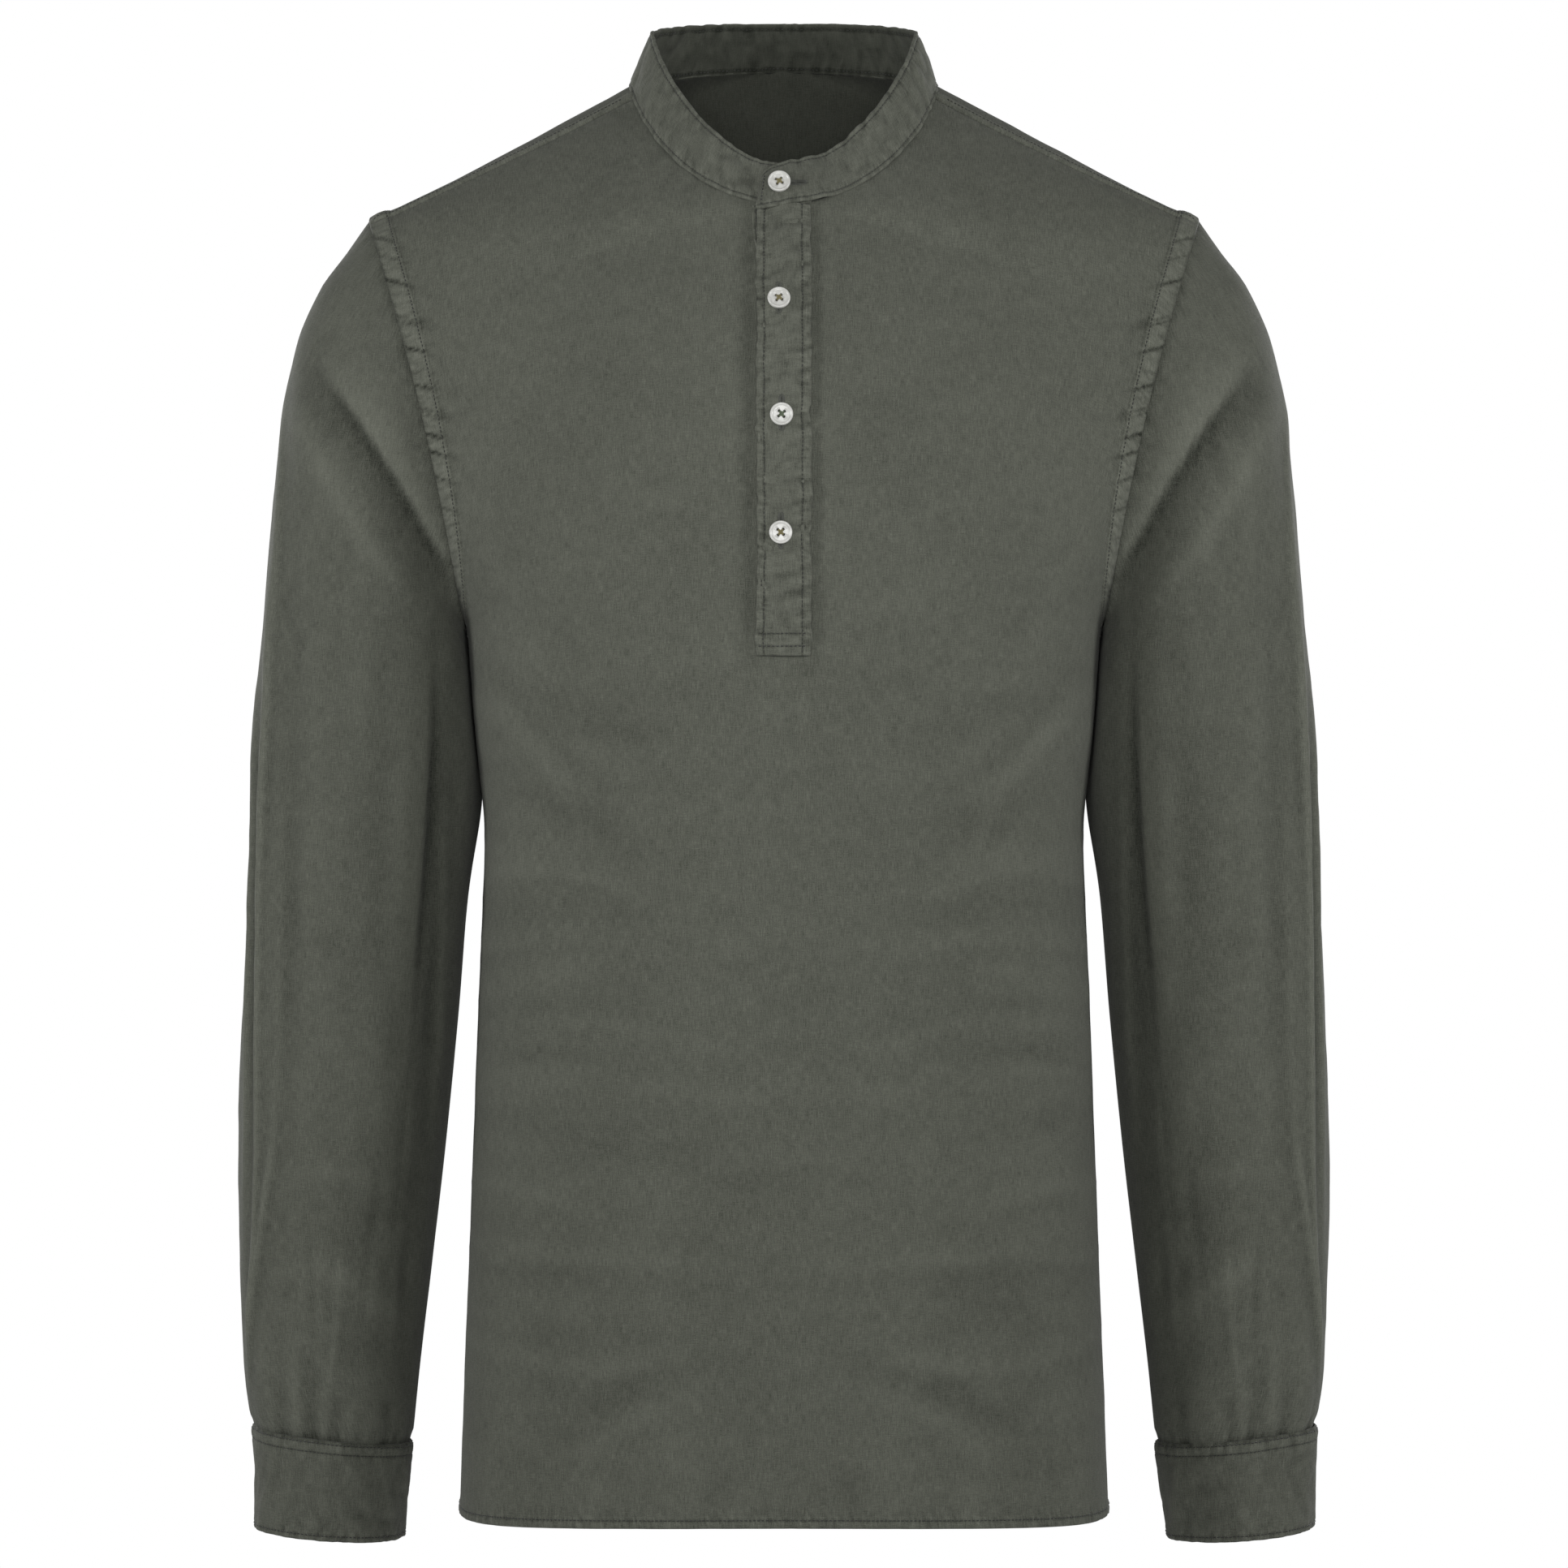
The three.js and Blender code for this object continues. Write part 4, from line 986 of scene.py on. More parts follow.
@dataclass
class BodyPanel:
    """A front or a back: both halves as one grid, with raised felled strips at the armholes."""

    name: str
    half: HalfPanel
    folds: tuple[Fold, ...]
    open_half_width: float  # half the width of the centre stretch, which may be slit
    open_from_row: float  # rows above this one are slit there
    seed: int
    strip_creases: tuple[tuple[float, float, float], ...]  # each its height, depth and half width
    shoulder_rise: float  # the overlap that its shoulder edge makes
    rows: Array = field(init=False)  # row numbers from the hem up
    half_columns: int = field(init=False)  # columns from the middle stretch to an edge
    wall: float = 0.9
    step: float = 3.3  # between rows
    arm_step: float = 1.6
    inner_columns: int = 54
    middle_columns: int = 6
    hem_stitch: float = 3.5
    hem_fold: float = 5.0
    hem_rise: float = 0.5
    # painted shade over the sides below the underarm
    side_shade: float = 0.55
    side_shade_width: float = 34.0
    side_shade_from: float = -330.0
    side_shade_to: float = -230.0
    ripples: tuple = ((0.42, 52, 27, 7, 0), (0.2, 27, 13, 0, 5), (0.06, 9, 8, 3, 0))
    eased_rows: tuple[float, float] = (6, 18)  # how far from the underarm the rows are eased
    eased_from: tuple[float, float] = (3, 30)  # and how far from the edge
    eased_times: int = 60
    strip_rise: float = 1.8
    strip_steps: tuple[float, ...] = (16, 14, 12.6, 11.8, 11.1, 10.2, 9.4, 8.2, 6.6, 5, 3.4, 2.2, 1.3, 0.5, 0)
    strip_width: float = 11.4  # its edge lies between two of the steps
    strip_stitch: float = 10.2  # from the armhole
    seam_fade: tuple[float, float] = (3, 26)
    shoulder_width: float = 7.0

    def row_numbers(self) -> Array:
        """Row numbers from the hem up: close at the hem and the shoulder, even between them.

        Returns:
            The row numbers, rising.
        """
        low, high = self.half.levels[0], self.half.levels[UNDERARM_ROW]
        levels = fine_steps((low, low + 7, 1.0), (low + 7, low + 12, 1.7), (low + 12, high, self.step))
        lower = self.half.row_at_level(levels)
        dense = np.linspace(UNDERARM_ROW, self.half.top_row, 600)
        length = run_length(self.half.outer(dense + 1e-9)[None], 1)[0]
        near_top = length[-1] - 9
        spots = fine_steps((0, near_top, self.arm_step), (near_top, length[-1], 0.9))[1:]
        return np.concatenate([lower, np.interp(spots, length, dense)])

    def build(self) -> Cloth:
        """Makes the creased panel.

        Returns:
            The cloth, columns running so that its outer face looks out.
        """
        self.rows = self.row_numbers()
        dense = self.half.point(self.rows[:, None], np.linspace(0, 1, 200)[None])
        length = run_length(dense, 1)
        inner, middle = [], []
        for points_in_row, run in zip(dense, length):
            begin = max(0.0, np.interp(self.open_half_width, points_in_row[:60, 0], run[:60]))
            even = np.linspace(begin, run[-1] - self.strip_steps[0], self.inner_columns)[:-1]
            spots = np.concatenate([even, run[-1] - np.array(self.strip_steps)])
            centre = np.linspace(0, begin, self.middle_columns // 2 + 1)[:-1]
            inner.append([np.interp(spots, run, points_in_row[:, k]) for k in range(3)])
            middle.append([np.interp(centre, run, points_in_row[:, k]) for k in range(3)])
        left = np.moveaxis(np.array(inner), 1, 2)
        centre = np.moveaxis(np.array(middle), 1, 2)
        right = mirrored(left)[:, ::-1]
        place = np.concatenate([right, mirrored(centre)[:, :0:-1], centre, left], axis=1)
        self.half_columns = left.shape[1]
        from_edge = self._from_edge(left, len(centre[0]) * 2 - 1)
        place = self._eased(place, from_edge)
        if self.half is BACK_HALF:
            place, from_edge = place[:, ::-1], from_edge[:, ::-1]
        cloth = Cloth(place, self._grain(place), self.wall)
        cloth.missing = self._slit(place.shape)
        self._crease(cloth, from_edge)
        cloth.shade_relief(wide=0.35)
        return cloth

    def _eased(self, place: Array, from_edge: Array) -> Array:
        """The points with the turn at the underarm's height spread over many rows."""
        away = np.abs(np.arange(len(place)) - np.argmax(self.rows >= UNDERARM_ROW))[:, None]
        share = (1 - smoothstep(away, *self.eased_rows)) * smoothstep(from_edge, *self.eased_from)
        for _ in range(self.eased_times):
            mean = (place[:-2] + 2 * place[1:-1] + place[2:]) / 4
            place = np.concatenate([place[:1], mix(place[1:-1], mean, share[1:-1, :, None]), place[-1:]])
        return place

    def _from_edge(self, left: Array, middle: int) -> Array:
        """Distance of every point from its side seam or armhole."""
        run = run_length(left[:, ::-1], 1)[:, ::-1]
        far = np.full((len(left), middle), 200.0)
        return np.concatenate([run[:, ::-1], far, run], axis=1)

    def _grain(self, place: Array) -> Array:
        """The cloth's own directions: across from the centre, and up from the hem."""
        run = run_length(place, 1, (0, 1))
        centre = np.array([np.interp(0, *_rising(row[:, 0], length)) for row, length in zip(place, run)])
        across = run - centre[:, None]
        return np.stack([across, run_length(place, 0, (1, 2))], axis=-1)

    def _slit(self, shape: tuple[int, ...]) -> Array:
        """The quads that the slit at the centre leaves out."""
        missing = np.zeros((shape[0] - 1, shape[1] - 1), bool)
        first = self.half_columns - 1
        last = shape[1] - self.half_columns
        above = self.rows[:-1] >= self.open_from_row
        missing[np.ix_(above, range(first, last))] = True
        return missing

    def _crease(self, cloth: Cloth, from_edge: Array) -> None:
        """Folds, ripples, the hem, the shoulder edge and the armhole strips.

        Args:
            cloth: The panel before them, which they change.
            from_edge: Distances from the side seam or armhole.
        """
        x, z = cloth.place[..., 0], cloth.place[..., 2]
        from_shoulder = run_length(cloth.place[::-1], 0)[::-1]
        clear = smoothstep(from_edge, *self.seam_fade) * smoothstep(from_shoulder, 0, 14)
        ripple = Ripple(self.seed).layered(x, z, self.ripples)
        from_hem = cloth.grain[..., 1]
        height = (relief(self.folds, x, z) + ripple) * clear
        height += self._hem_gather(cloth.grain[..., 0], from_hem) + self._side_gather(z, from_edge)
        cloth.push(height + self._shoulder(x, from_shoulder) + self._neck_gather(cloth))
        cloth.raised = self._strip(cloth, from_edge) + self._hem_rise(from_hem)
        if self.shoulder_rise > 0:
            overlap = 1 - smoothstep(from_shoulder, self.shoulder_width - 0.8, self.shoulder_width + 0.4)
            cloth.raised += self.shoulder_rise * overlap * smoothstep(from_edge, 0, 6)
            # painted highlight on the lapped shoulder edge
            cloth.worn += 0.9 * overlap
        else:
            # painted shade along the shoulder seam
            cloth.worn -= 2.2 * bell(from_shoulder, 1.3)
        near_strip = smoothstep(-from_edge, -18, -9) * self._above()
        # painted shade over the sides below the underarm and in the hem's stitch groove
        beneath = 1 - smoothstep(z, self.side_shade_from, self.side_shade_to)
        cloth.worn -= self.side_shade * beneath * bell(from_edge, self.side_shade_width)
        cloth.worn -= 1.1 * groove(from_hem - self.hem_stitch)
        shoulder = bell(from_shoulder, 8)
        cloth.drawn = np.maximum(1.5 * bell(from_hem, 7), 0.7 * shoulder) - 0.9 * near_strip

    def _strip(self, cloth: Cloth, from_edge: Array) -> Array:
        """The felled strip along the armhole, puffed between its creases.

        Args:
            cloth: The panel's cloth.
            from_edge: Distances from the armhole.

        Returns:
            How far it stands out.
        """
        z = cloth.place[..., 2]
        fade = self._above()
        strip = 1 - smoothstep(from_edge, self.strip_width - 0.7, self.strip_width + 0.3)
        drop = z + 0.28 * from_edge
        deep = sum(d * bell(drop - at, 0.62 * w) for at, d, w in self.strip_creases)
        run = run_length(cloth.place, 0) + 0.3 * from_edge
        small = creases(run, 5.0, 900, self.seed + 3, 0.8)
        hump = np.sin(np.pi * np.clip(from_edge / self.strip_width, 0, 1)) ** 0.6
        raised = strip * (self.strip_rise * (0.66 + 0.34 * hump) - (1.9 * deep + 0.7 * small) * hump)
        stitched = groove(from_edge - self.strip_stitch) * 0.7
        beside = (1 - strip) * bell(from_edge - self.strip_width, 7)
        reach = sum(d * bell(drop - at, 3.0) for at, d in STRIP_REACHES)
        raised = raised - stitched - beside * (0.35 * deep + 0.2 * small + 0.9 * reach)
        # painted highlight on the strip, painted shade in its creases, beside it and along the armhole seam
        strip_painted_shading = strip * (0.8 - 2.2 * deep - 0.9 * small) - beside * (0.3 * deep + 0.7 * reach)
        cloth.worn += (strip_painted_shading - 1.6 * bell(from_edge, 1.3)) * fade
        return np.maximum(raised, -0.6) * fade

    def _above(self) -> Array:
        """1 on the rows beside the armhole, fading out at the underarm."""
        arm = np.abs(self.half.arm_angle(self.rows))[:, None]
        return np.where((self.rows > UNDERARM_ROW)[:, None], 1 - smoothstep(arm, 142, 174), 0.0)

    def _shoulder(self, x: Array, from_shoulder: Array) -> Array:
        """The shoulder seam's groove and its gathers."""
        gather = creases(np.abs(x) + 0.4 * from_shoulder, 9, 300, self.seed + 8, 1.6)
        near = bell(from_shoulder, 7)
        return -0.35 * gather * near * smoothstep(from_shoulder, 0, 1.5) - 0.5 * bell(from_shoulder, 1.0)

    def _neck_gather(self, cloth: Cloth) -> Array:
        """Short creases that leave the collar seam.

        Args:
            cloth: The panel's cloth.

        Returns:
            Heights, below 0 in a crease.
        """
        centre = np.array([0, NECK.centre_y])
        flat = cloth.place[..., :2] - centre
        turn = np.arctan2(flat[..., 0], -flat[..., 1] * np.sign(-self.half.centre.column("depth")[0]))
        edge = self.half_columns - 1
        columns = cloth.place.shape[1]
        away = np.minimum(
            np.linalg.norm(cloth.place - cloth.place[:, edge : edge + 1], axis=-1),
            np.linalg.norm(cloth.place - cloth.place[:, columns - 1 - edge : columns - edge], axis=-1),
        )
        on_neck = smoothstep(self.rows, self.half.neck_row - 0.3, self.half.neck_row + 0.2)[:, None]
        gather = creases((turn + np.pi) * 75, 11, 500, self.seed + 9, 2.2)
        return -0.5 * gather * on_neck * bell(away - 2, 11)

    def _hem_gather(self, across: Array, from_hem: Array) -> Array:
        """The slanting ripples of a narrow hem."""
        slant = across + 0.8 * from_hem + 600
        gather = 0.3 * puckers(slant, 13, 1200, self.seed + 1)
        return (gather - 0.45 * creases(slant, 7, 1200, self.seed + 2)) * bell(from_hem, 8)

    def _hem_rise(self, from_hem: Array) -> Array:
        """The folded-over hem is thicker, and its stitches sink in."""
        folded = 1 - smoothstep(from_hem, self.hem_fold - 0.5, self.hem_fold + 0.5)
        return self.hem_rise * folded - 0.4 * groove(from_hem - self.hem_stitch)

    def _side_gather(self, z: Array, from_edge: Array) -> Array:
        """Small gathers across the side seams, alike on the front and the back."""
        gather = puckers(-z, 16, 900, SIDE_SEED)
        below = smoothstep(-z, 283, 300)
        roll = -0.5 * bell(from_edge, 1.3)
        return below * (0.3 * gather * bell(from_edge, 8) + roll)


def _rising(x: Array, run: Array) -> tuple[Array, Array]:
    """The two arrays in the order in which x rises."""
    return (x, run) if x[-1] > x[0] else (x[::-1], run[::-1])


FRONT_PANEL = BodyPanel(
    name="front",
    half=FRONT_HALF,
    folds=FRONT_FOLDS,
    open_half_width=10.5,
    open_from_row=UNDERARM_ROW,
    seed=5,
    strip_creases=FRONT_STRIP_CREASES,
    shoulder_rise=0,
)
BACK_PANEL = BodyPanel(
    name="back",
    half=BACK_HALF,
    folds=BACK_FOLDS,
    open_half_width=2.0,
    open_from_row=BACK_HALF.neck_row,
    seed=8,
    strip_creases=BACK_STRIP_CREASES,
    shoulder_rise=1.2,
    middle_columns=2,
)


# ---------------------------------------------------------------- sleeves and cuffs
SLEEVE_RINGS = Table(
    "out_x out_z in_x in_z mid_y half",
    (214, -70, 163.5, -283, 2, 62),
    (225.5, -86, 163, -285, 4, 63),
    (240.5, -106, 162.5, -288, 6, 65),
    (253, -135, 162, -292, 8, 67),
    (260.5, -180, 160, -301, 11, 68),
    (266, -230, 157, -318, 14, 67),
    (270.7, -285, 154.5, -342, 16, 65),
    (274.9, -345, 157.5, -376, 16, 63),
    (278, -410, 164.2, -420, 15, 60.5),
    (281, -480, 169, -480, 13, 58),
    (283, -550, 175.7, -550, 10, 55),
    (282, -610, 182.5, -610, 7, 51.5),
    (279.5, -660, 188.5, -662, 4, 47),
    (275.5, -693, 192.5, -702, 3, 41.5),
)
CUFF_RINGS = Table(
    "out_x out_z in_x in_z mid_y half",
    (276.4, -693.6, 191.6, -702.6, 3, 42.4),
    (275.0, -708, 193.4, -716, 2, 41),
    (274.2, -724, 195.0, -731, 1, 40),
    (274.4, -745.8, 196.8, -751.3, 0, 40),
)
SLEEVE_FRONT_FOLDS = (
    Fold((242, -158), (166, -264), 11, -2.4),
    Fold((228, -118), (170, -215), 15, 0.7),
    Fold((262, -160), (176, -292), 16, 1.8),
    Fold((262, -190), (268, -560), 7, 1.8),
    Fold((250, -260), (254, -520), 8, -1.6),
    Fold((172, -330), (186, -590), 9, -3.4),
    Fold((190, -300), (196, -470), 10, 2.0),
    Fold((176, -560), (232, -606), 11, -0.9),
    Fold((196, -640), (240, -600), 11, 1.6),
    Fold((268, -640), (266, -715), 6, 1.8),
    Fold((243, -655), (240, -715), 7, -1.8),
    Fold((212, -660), (214, -715), 7, 1.4),
    # finer ones over them
    Fold((231, -158), (164, -264), 7, -1.2, bow=3, lap=2.3, lap_spread=17),
    Fold((246, -176), (184, -270), 6, 0.9, bow=-6),
    Fold((257, -150), (269, -420), 1.8, 1.5, bow=1),
    Fold((272, -290), (277.5, -570), 1.6, 2.4),
    Fold((263, -250), (270.5, -570), 1.8, 2.3, bow=-1),
    Fold((267.5, -250), (274, -570), 1.6, -0.4),
    Fold((258, -380), (262, -560), 2.2, 0.5, bow=1),
    Fold((262, -548), (276, -650), 2.2, 1.9),
    Fold((270, -560), (275, -668), 1.6, 1.6),
    Fold((178, -300), (190, -470), 3.4, -1.5, bow=3),
    Fold((182, -320), (195, -520), 2.4, 1.1, bow=2),
    Fold((172, -360), (178, -540), 2.2, 0.9, bow=1),
    Fold((184, -420), (196, -640), 4, -1.1, bow=-3),
    Fold((190, -500), (203, -650), 2.6, 0.9, bow=2),
    Fold((207, -556), (216, -632), 2.2, -0.45),
    Fold((226, -600), (232, -668), 2.4, 0.7, bow=1),
    Fold((244, -590), (240, -650), 2.6, -0.7, bow=1),
    Fold((206, -500), (214, -660), 7, 0.6, bow=4),
    Fold((222, -520), (206, -590), 5, -0.3, bow=4, skew=0.4),
    Fold((210, -560), (200, -640), 4.5, -0.3, bow=-3),
    Fold((240, -440), (216, -452), 8, -0.5, bow=3),
    Fold((250, -560), (196, -572), 8, 0.6, bow=5),
    Fold((258, -668), (256, -704), 3.2, -0.9),
    Fold((250, -650), (249, -704), 3.6, 0.9),
    Fold((228, -670), (229, -706), 3.6, -0.8),
    Fold((220, -676), (221, -706), 3.0, 0.6),
    Fold((203, -676), (205, -708), 3.4, -0.8),
)
SLEEVE_BACK_FOLDS = (
    Fold((240, -150), (168, -240), 14, -4.0),
    Fold((256, -210), (262, -540), 9, 2.0),
    Fold((176, -330), (190, -580), 11, -3.0),
    Fold((200, -300), (206, -500), 12, 2.2),
    Fold((255, -480), (190, -430), 13, -1.3),
    Fold((232, -640), (230, -715), 8, 1.8),
    # finer ones over them
    Fold((250, -170), (186, -262), 6, 0.9, bow=-6),
    Fold((262, -300), (268, -600), 3, 0.8, bow=2),
    Fold((262, -396), (196, -380), 7, 0.55, bow=6, skew=0.3),
    Fold((258, -430), (200, -412), 6, -0.5, bow=-5),
    Fold((256, -514), (204, -506), 7, 0.5, bow=5),
    Fold((250, -560), (200, -590), 7, -0.7, bow=4),
    Fold((258, -668), (256, -704), 3.2, -0.9),
    Fold((246, -650), (245, -704), 3.6, 0.9),
    Fold((216, -670), (217, -706), 3.4, -0.8),
    Fold((203, -676), (205, -708), 3.4, 0.7),
)


def ring_point(rings: Table, at: Array, angle: Array) -> Array:
    """Points of a sleeve's or cuff's rings, on the wearer's left.

    Args:
        rings: The rings' table.
        at: Ring numbers.
        angle: Degrees round from the outer edge, over the front.

    Returns:
        The points.
    """
    at, angle = np.broadcast_arrays(np.asarray(at, float), np.asarray(angle, float))
    outwards = (1 + np.cos(np.radians(angle))) / 2
    return points(
        mix(rings.at("in_x", at), rings.at("out_x", at), outwards),
        rings.at("mid_y", at) - rings.at("half", at) * np.sin(np.radians(angle)),
        mix(rings.at("in_z", at), rings.at("out_z", at), outwards),
    )


@dataclass
class Sleeve:
    """One sleeve, from under the armhole's strip to inside the cuff."""

    side: int
    seed: int
    wall: float = 0.8
    step: float = 2.8
    columns: int = 168
    crowding: float = 0.42
    blend_rings: float = 3
    blend_decay: float = 0.8
    clearance: float = 0.8
    softness: float = 1.2
    clear_of_body_x: float = 248
    cap_shift: tuple[float, float, float] = (0.49, 0.0, -0.09)
    tuck: float = 2.0  # how far its top lies under the strip
    cuff_tuck: float = 5.0  # how far its end lies in the cuff
    cuff_inset: float = 1.5
    fold_rings: tuple[float, float] = (0.2, 2)
    fold_turn: float = 0.2
    ripples: tuple = ((0.42, 21, 60, 9, 0), (0.28, 13, 25, 2, 5), (0.12, 8, 9, 3, 0))
    wrist_degree: float = 0.72  # length round the wrist for a degree
    wrist_start: float = 129

    def body_reach(self, y: Array, z: Array) -> Array:
        """Half width of the body at depths and heights below the underarm.

        Args:
            y: Depths.
            z: Heights.

        Returns:
            The half widths.
        """
        levels = SIDE_SECTIONS.column("level")
        row = SIDE_SECTIONS.row_of("level", np.clip(z, levels[0], levels[-1]))
        reach = np.zeros_like(y)
        for half, behind in ((FRONT_HALF, y < 0), (BACK_HALF, y >= 0)):
            low, high = np.zeros(behind.sum()), np.ones(behind.sum())
            for _ in range(18):
                middle = (low + high) / 2
                beyond = np.abs(half.point(row[behind], middle)[..., 1]) > np.abs(y[behind])
                low, high = np.where(beyond, middle, low), np.where(beyond, high, middle)
            reach[behind] = half.point(row[behind], high)[..., 0]
        return reach

    def surface(self, at: Array, angle: Array) -> Array:
        """The sleeve's form before its folds, on the wearer's left.

        Args:
            at: Ring numbers.
            angle: Degrees round from the outer edge.

        Returns:
            The points.
        """
        seam = ARMHOLE.at(angle) + np.array(self.cap_shift)
        offset = seam - ring_point(SLEEVE_RINGS, 0, angle)
        fade = (1 - smoothstep(at, 0, self.blend_rings)) * np.exp(-self.blend_decay * at)
        place = ring_point(SLEEVE_RINGS, at, angle) + offset * fade[..., None]
        near = (place[..., 2] <= ARMHOLE.bottom_z) & (place[..., 0] <= self.clear_of_body_x) & (at > 0)
        x, y, z = place[near].T
        limit = self.body_reach(y, z) + self.clearance
        place[near, 0] = limit + self.softness * np.logaddexp(0, (x - limit) / self.softness)
        return place

    def build(self) -> Cloth:
        """Makes the creased sleeve.

        Returns:
            The cloth, its columns once round.
        """
        last = len(SLEEVE_RINGS.rows) - 1
        even = np.pi + np.arange(self.columns) * 2 * np.pi / self.columns
        angle = np.degrees(even - self.crowding * np.sin(even))  # closer columns at the outer line
        dense = np.linspace(0, last, 500)
        run = run_length(ring_point(SLEEVE_RINGS, dense, 90.0)[None], 1)[0]
        at = np.interp(np.linspace(0, run[-1], round(run[-1] / self.step)), run, dense)
        place = self.surface(at[:, None] + 0 * angle, angle + 0 * at[:, None])
        grain = self._grain(place)
        cloth = Cloth(place, grain, self.wall, round=True)
        x, z = place[..., 0], place[..., 2]
        swing = np.sin(np.radians(angle))[None]
        folds = np.where(swing > 0, relief(SLEEVE_FRONT_FOLDS, x, z), relief(SLEEVE_BACK_FOLDS, x, z))
        turned = smoothstep(np.abs(swing), 0, self.fold_turn)
        begun = smoothstep(at, *self.fold_rings)[:, None]
        ripple = Ripple(self.seed).layered(grain[:, :-1, 0] + 400, grain[:, :-1, 1], self.ripples)
        seam_blend = smoothstep(180 - np.abs(angle - 360), 0, 14)[None]
        length = run_length(place[:1], 1)
        from_top = run_length(place, 0)
        cap = creases(length + 0.3 * from_top, 11, 700, self.seed + 5, 2.2) * bell(from_top, 9)
        from_wrist = from_top[-1:] - from_top
        around_wrist = angle * self.wrist_degree - self.wrist_start + 0 * at[:, None]
        wrist = creases(around_wrist, 8, 300, self.seed + 6, 2.0)
        wrist = wrist * bell(from_wrist, 13)
        cloth.push(folds * turned * begun + ripple * begun * seam_blend - 0.7 * cap - 0.8 * wrist)
        cloth.shade_relief(depth=0.6)
        cloth.drawn = 0.8 * np.maximum(bell(from_wrist, 11), 0.6 * bell(from_top, 9))
        # painted shade at both ends, where the sleeve goes under the strip and into the cuff
        cloth.worn -= 1.3 * bell(from_top, 3) + 1.2 * bell(from_wrist, 1.6)
        self._tuck_ends(cloth, from_wrist)
        return cloth.mirror() if self.side < 0 else cloth

    def _tuck_ends(self, cloth: Cloth, from_wrist: Array) -> None:
        """Draws both ends under what is sewn over them, and adds the hidden rows there.

        Args:
            cloth: The sleeve, which is changed.
            from_wrist: Distances from its lower end.
        """
        outward = cloth.outward()
        down = unit(cloth.place[-1] - cloth.place[-3])
        hidden = cloth.place[-1] + down * self.cuff_tuck - outward[-1] * self.cuff_inset
        inset = self.cuff_inset * (1 - smoothstep(from_wrist, 0, 7))
        cloth.place = cloth.place - outward * inset[..., None]
        up = unit(cloth.place[0] - cloth.place[2])
        under = cloth.place[0] + up * self.tuck - outward[0] * 0.5
        cloth.place = np.concatenate([under[None], cloth.place, hidden[None]])
        cloth.grain = np.concatenate([cloth.grain[:1], cloth.grain, cloth.grain[-1:]])
        cloth.grain[0, :, 1] += self.tuck
        cloth.grain[-1, :, 1] -= self.cuff_tuck
        cloth.worn, cloth.drawn = (np.concatenate([v[:1], v, v[-1:]]) for v in (cloth.worn, cloth.drawn))
        cloth.height = cloth.raised = cloth.missing = None
        cloth.__post_init__()

    @staticmethod
    def _grain(place: Array) -> Array:
        """The cloth's own directions: round from the arm's outer line, and up along it.

        Args:
            place: The sleeve's points, from the underarm seam round to it again.

        Returns:
            Both lengths, with one column more than the points have.
        """
        closed = np.concatenate([place, place[:, :1]], axis=1)
        x, y, z = np.moveaxis(closed, -1, 0)
        column = SLEEVE_RINGS.column
        outer_z, outer_x = column("out_z")[::-1], column("out_x")[::-1]
        inner_z, inner_x = column("in_z")[::-1], column("in_x")[::-1]
        middle_z = (outer_z + inner_z) / 2
        outer, inner = np.interp(z, outer_z, outer_x), np.interp(z, inner_z, inner_x)
        middle, half = (np.interp(z, middle_z, column(name)[::-1]) for name in ("mid_y", "half"))
        width = np.maximum((outer - inner) / 2, 20)
        turn = np.unwrap(np.arctan2((middle - y) / half, (x - (outer + inner) / 2) / width), axis=1)
        turn = turn - np.round((turn[:, :1] + np.pi) / (2 * np.pi)) * 2 * np.pi
        edge = np.concatenate([[0], np.cumsum(np.hypot(np.diff(outer_z), np.diff(outer_x)))])
        along_edge = np.interp(z, outer_z, edge)
        share = ((1 + np.cos(turn)) / 2) ** 2
        return np.stack([(width + half) / 2 * turn, mix(z - outer_z[0], along_edge, share)], axis=-1)


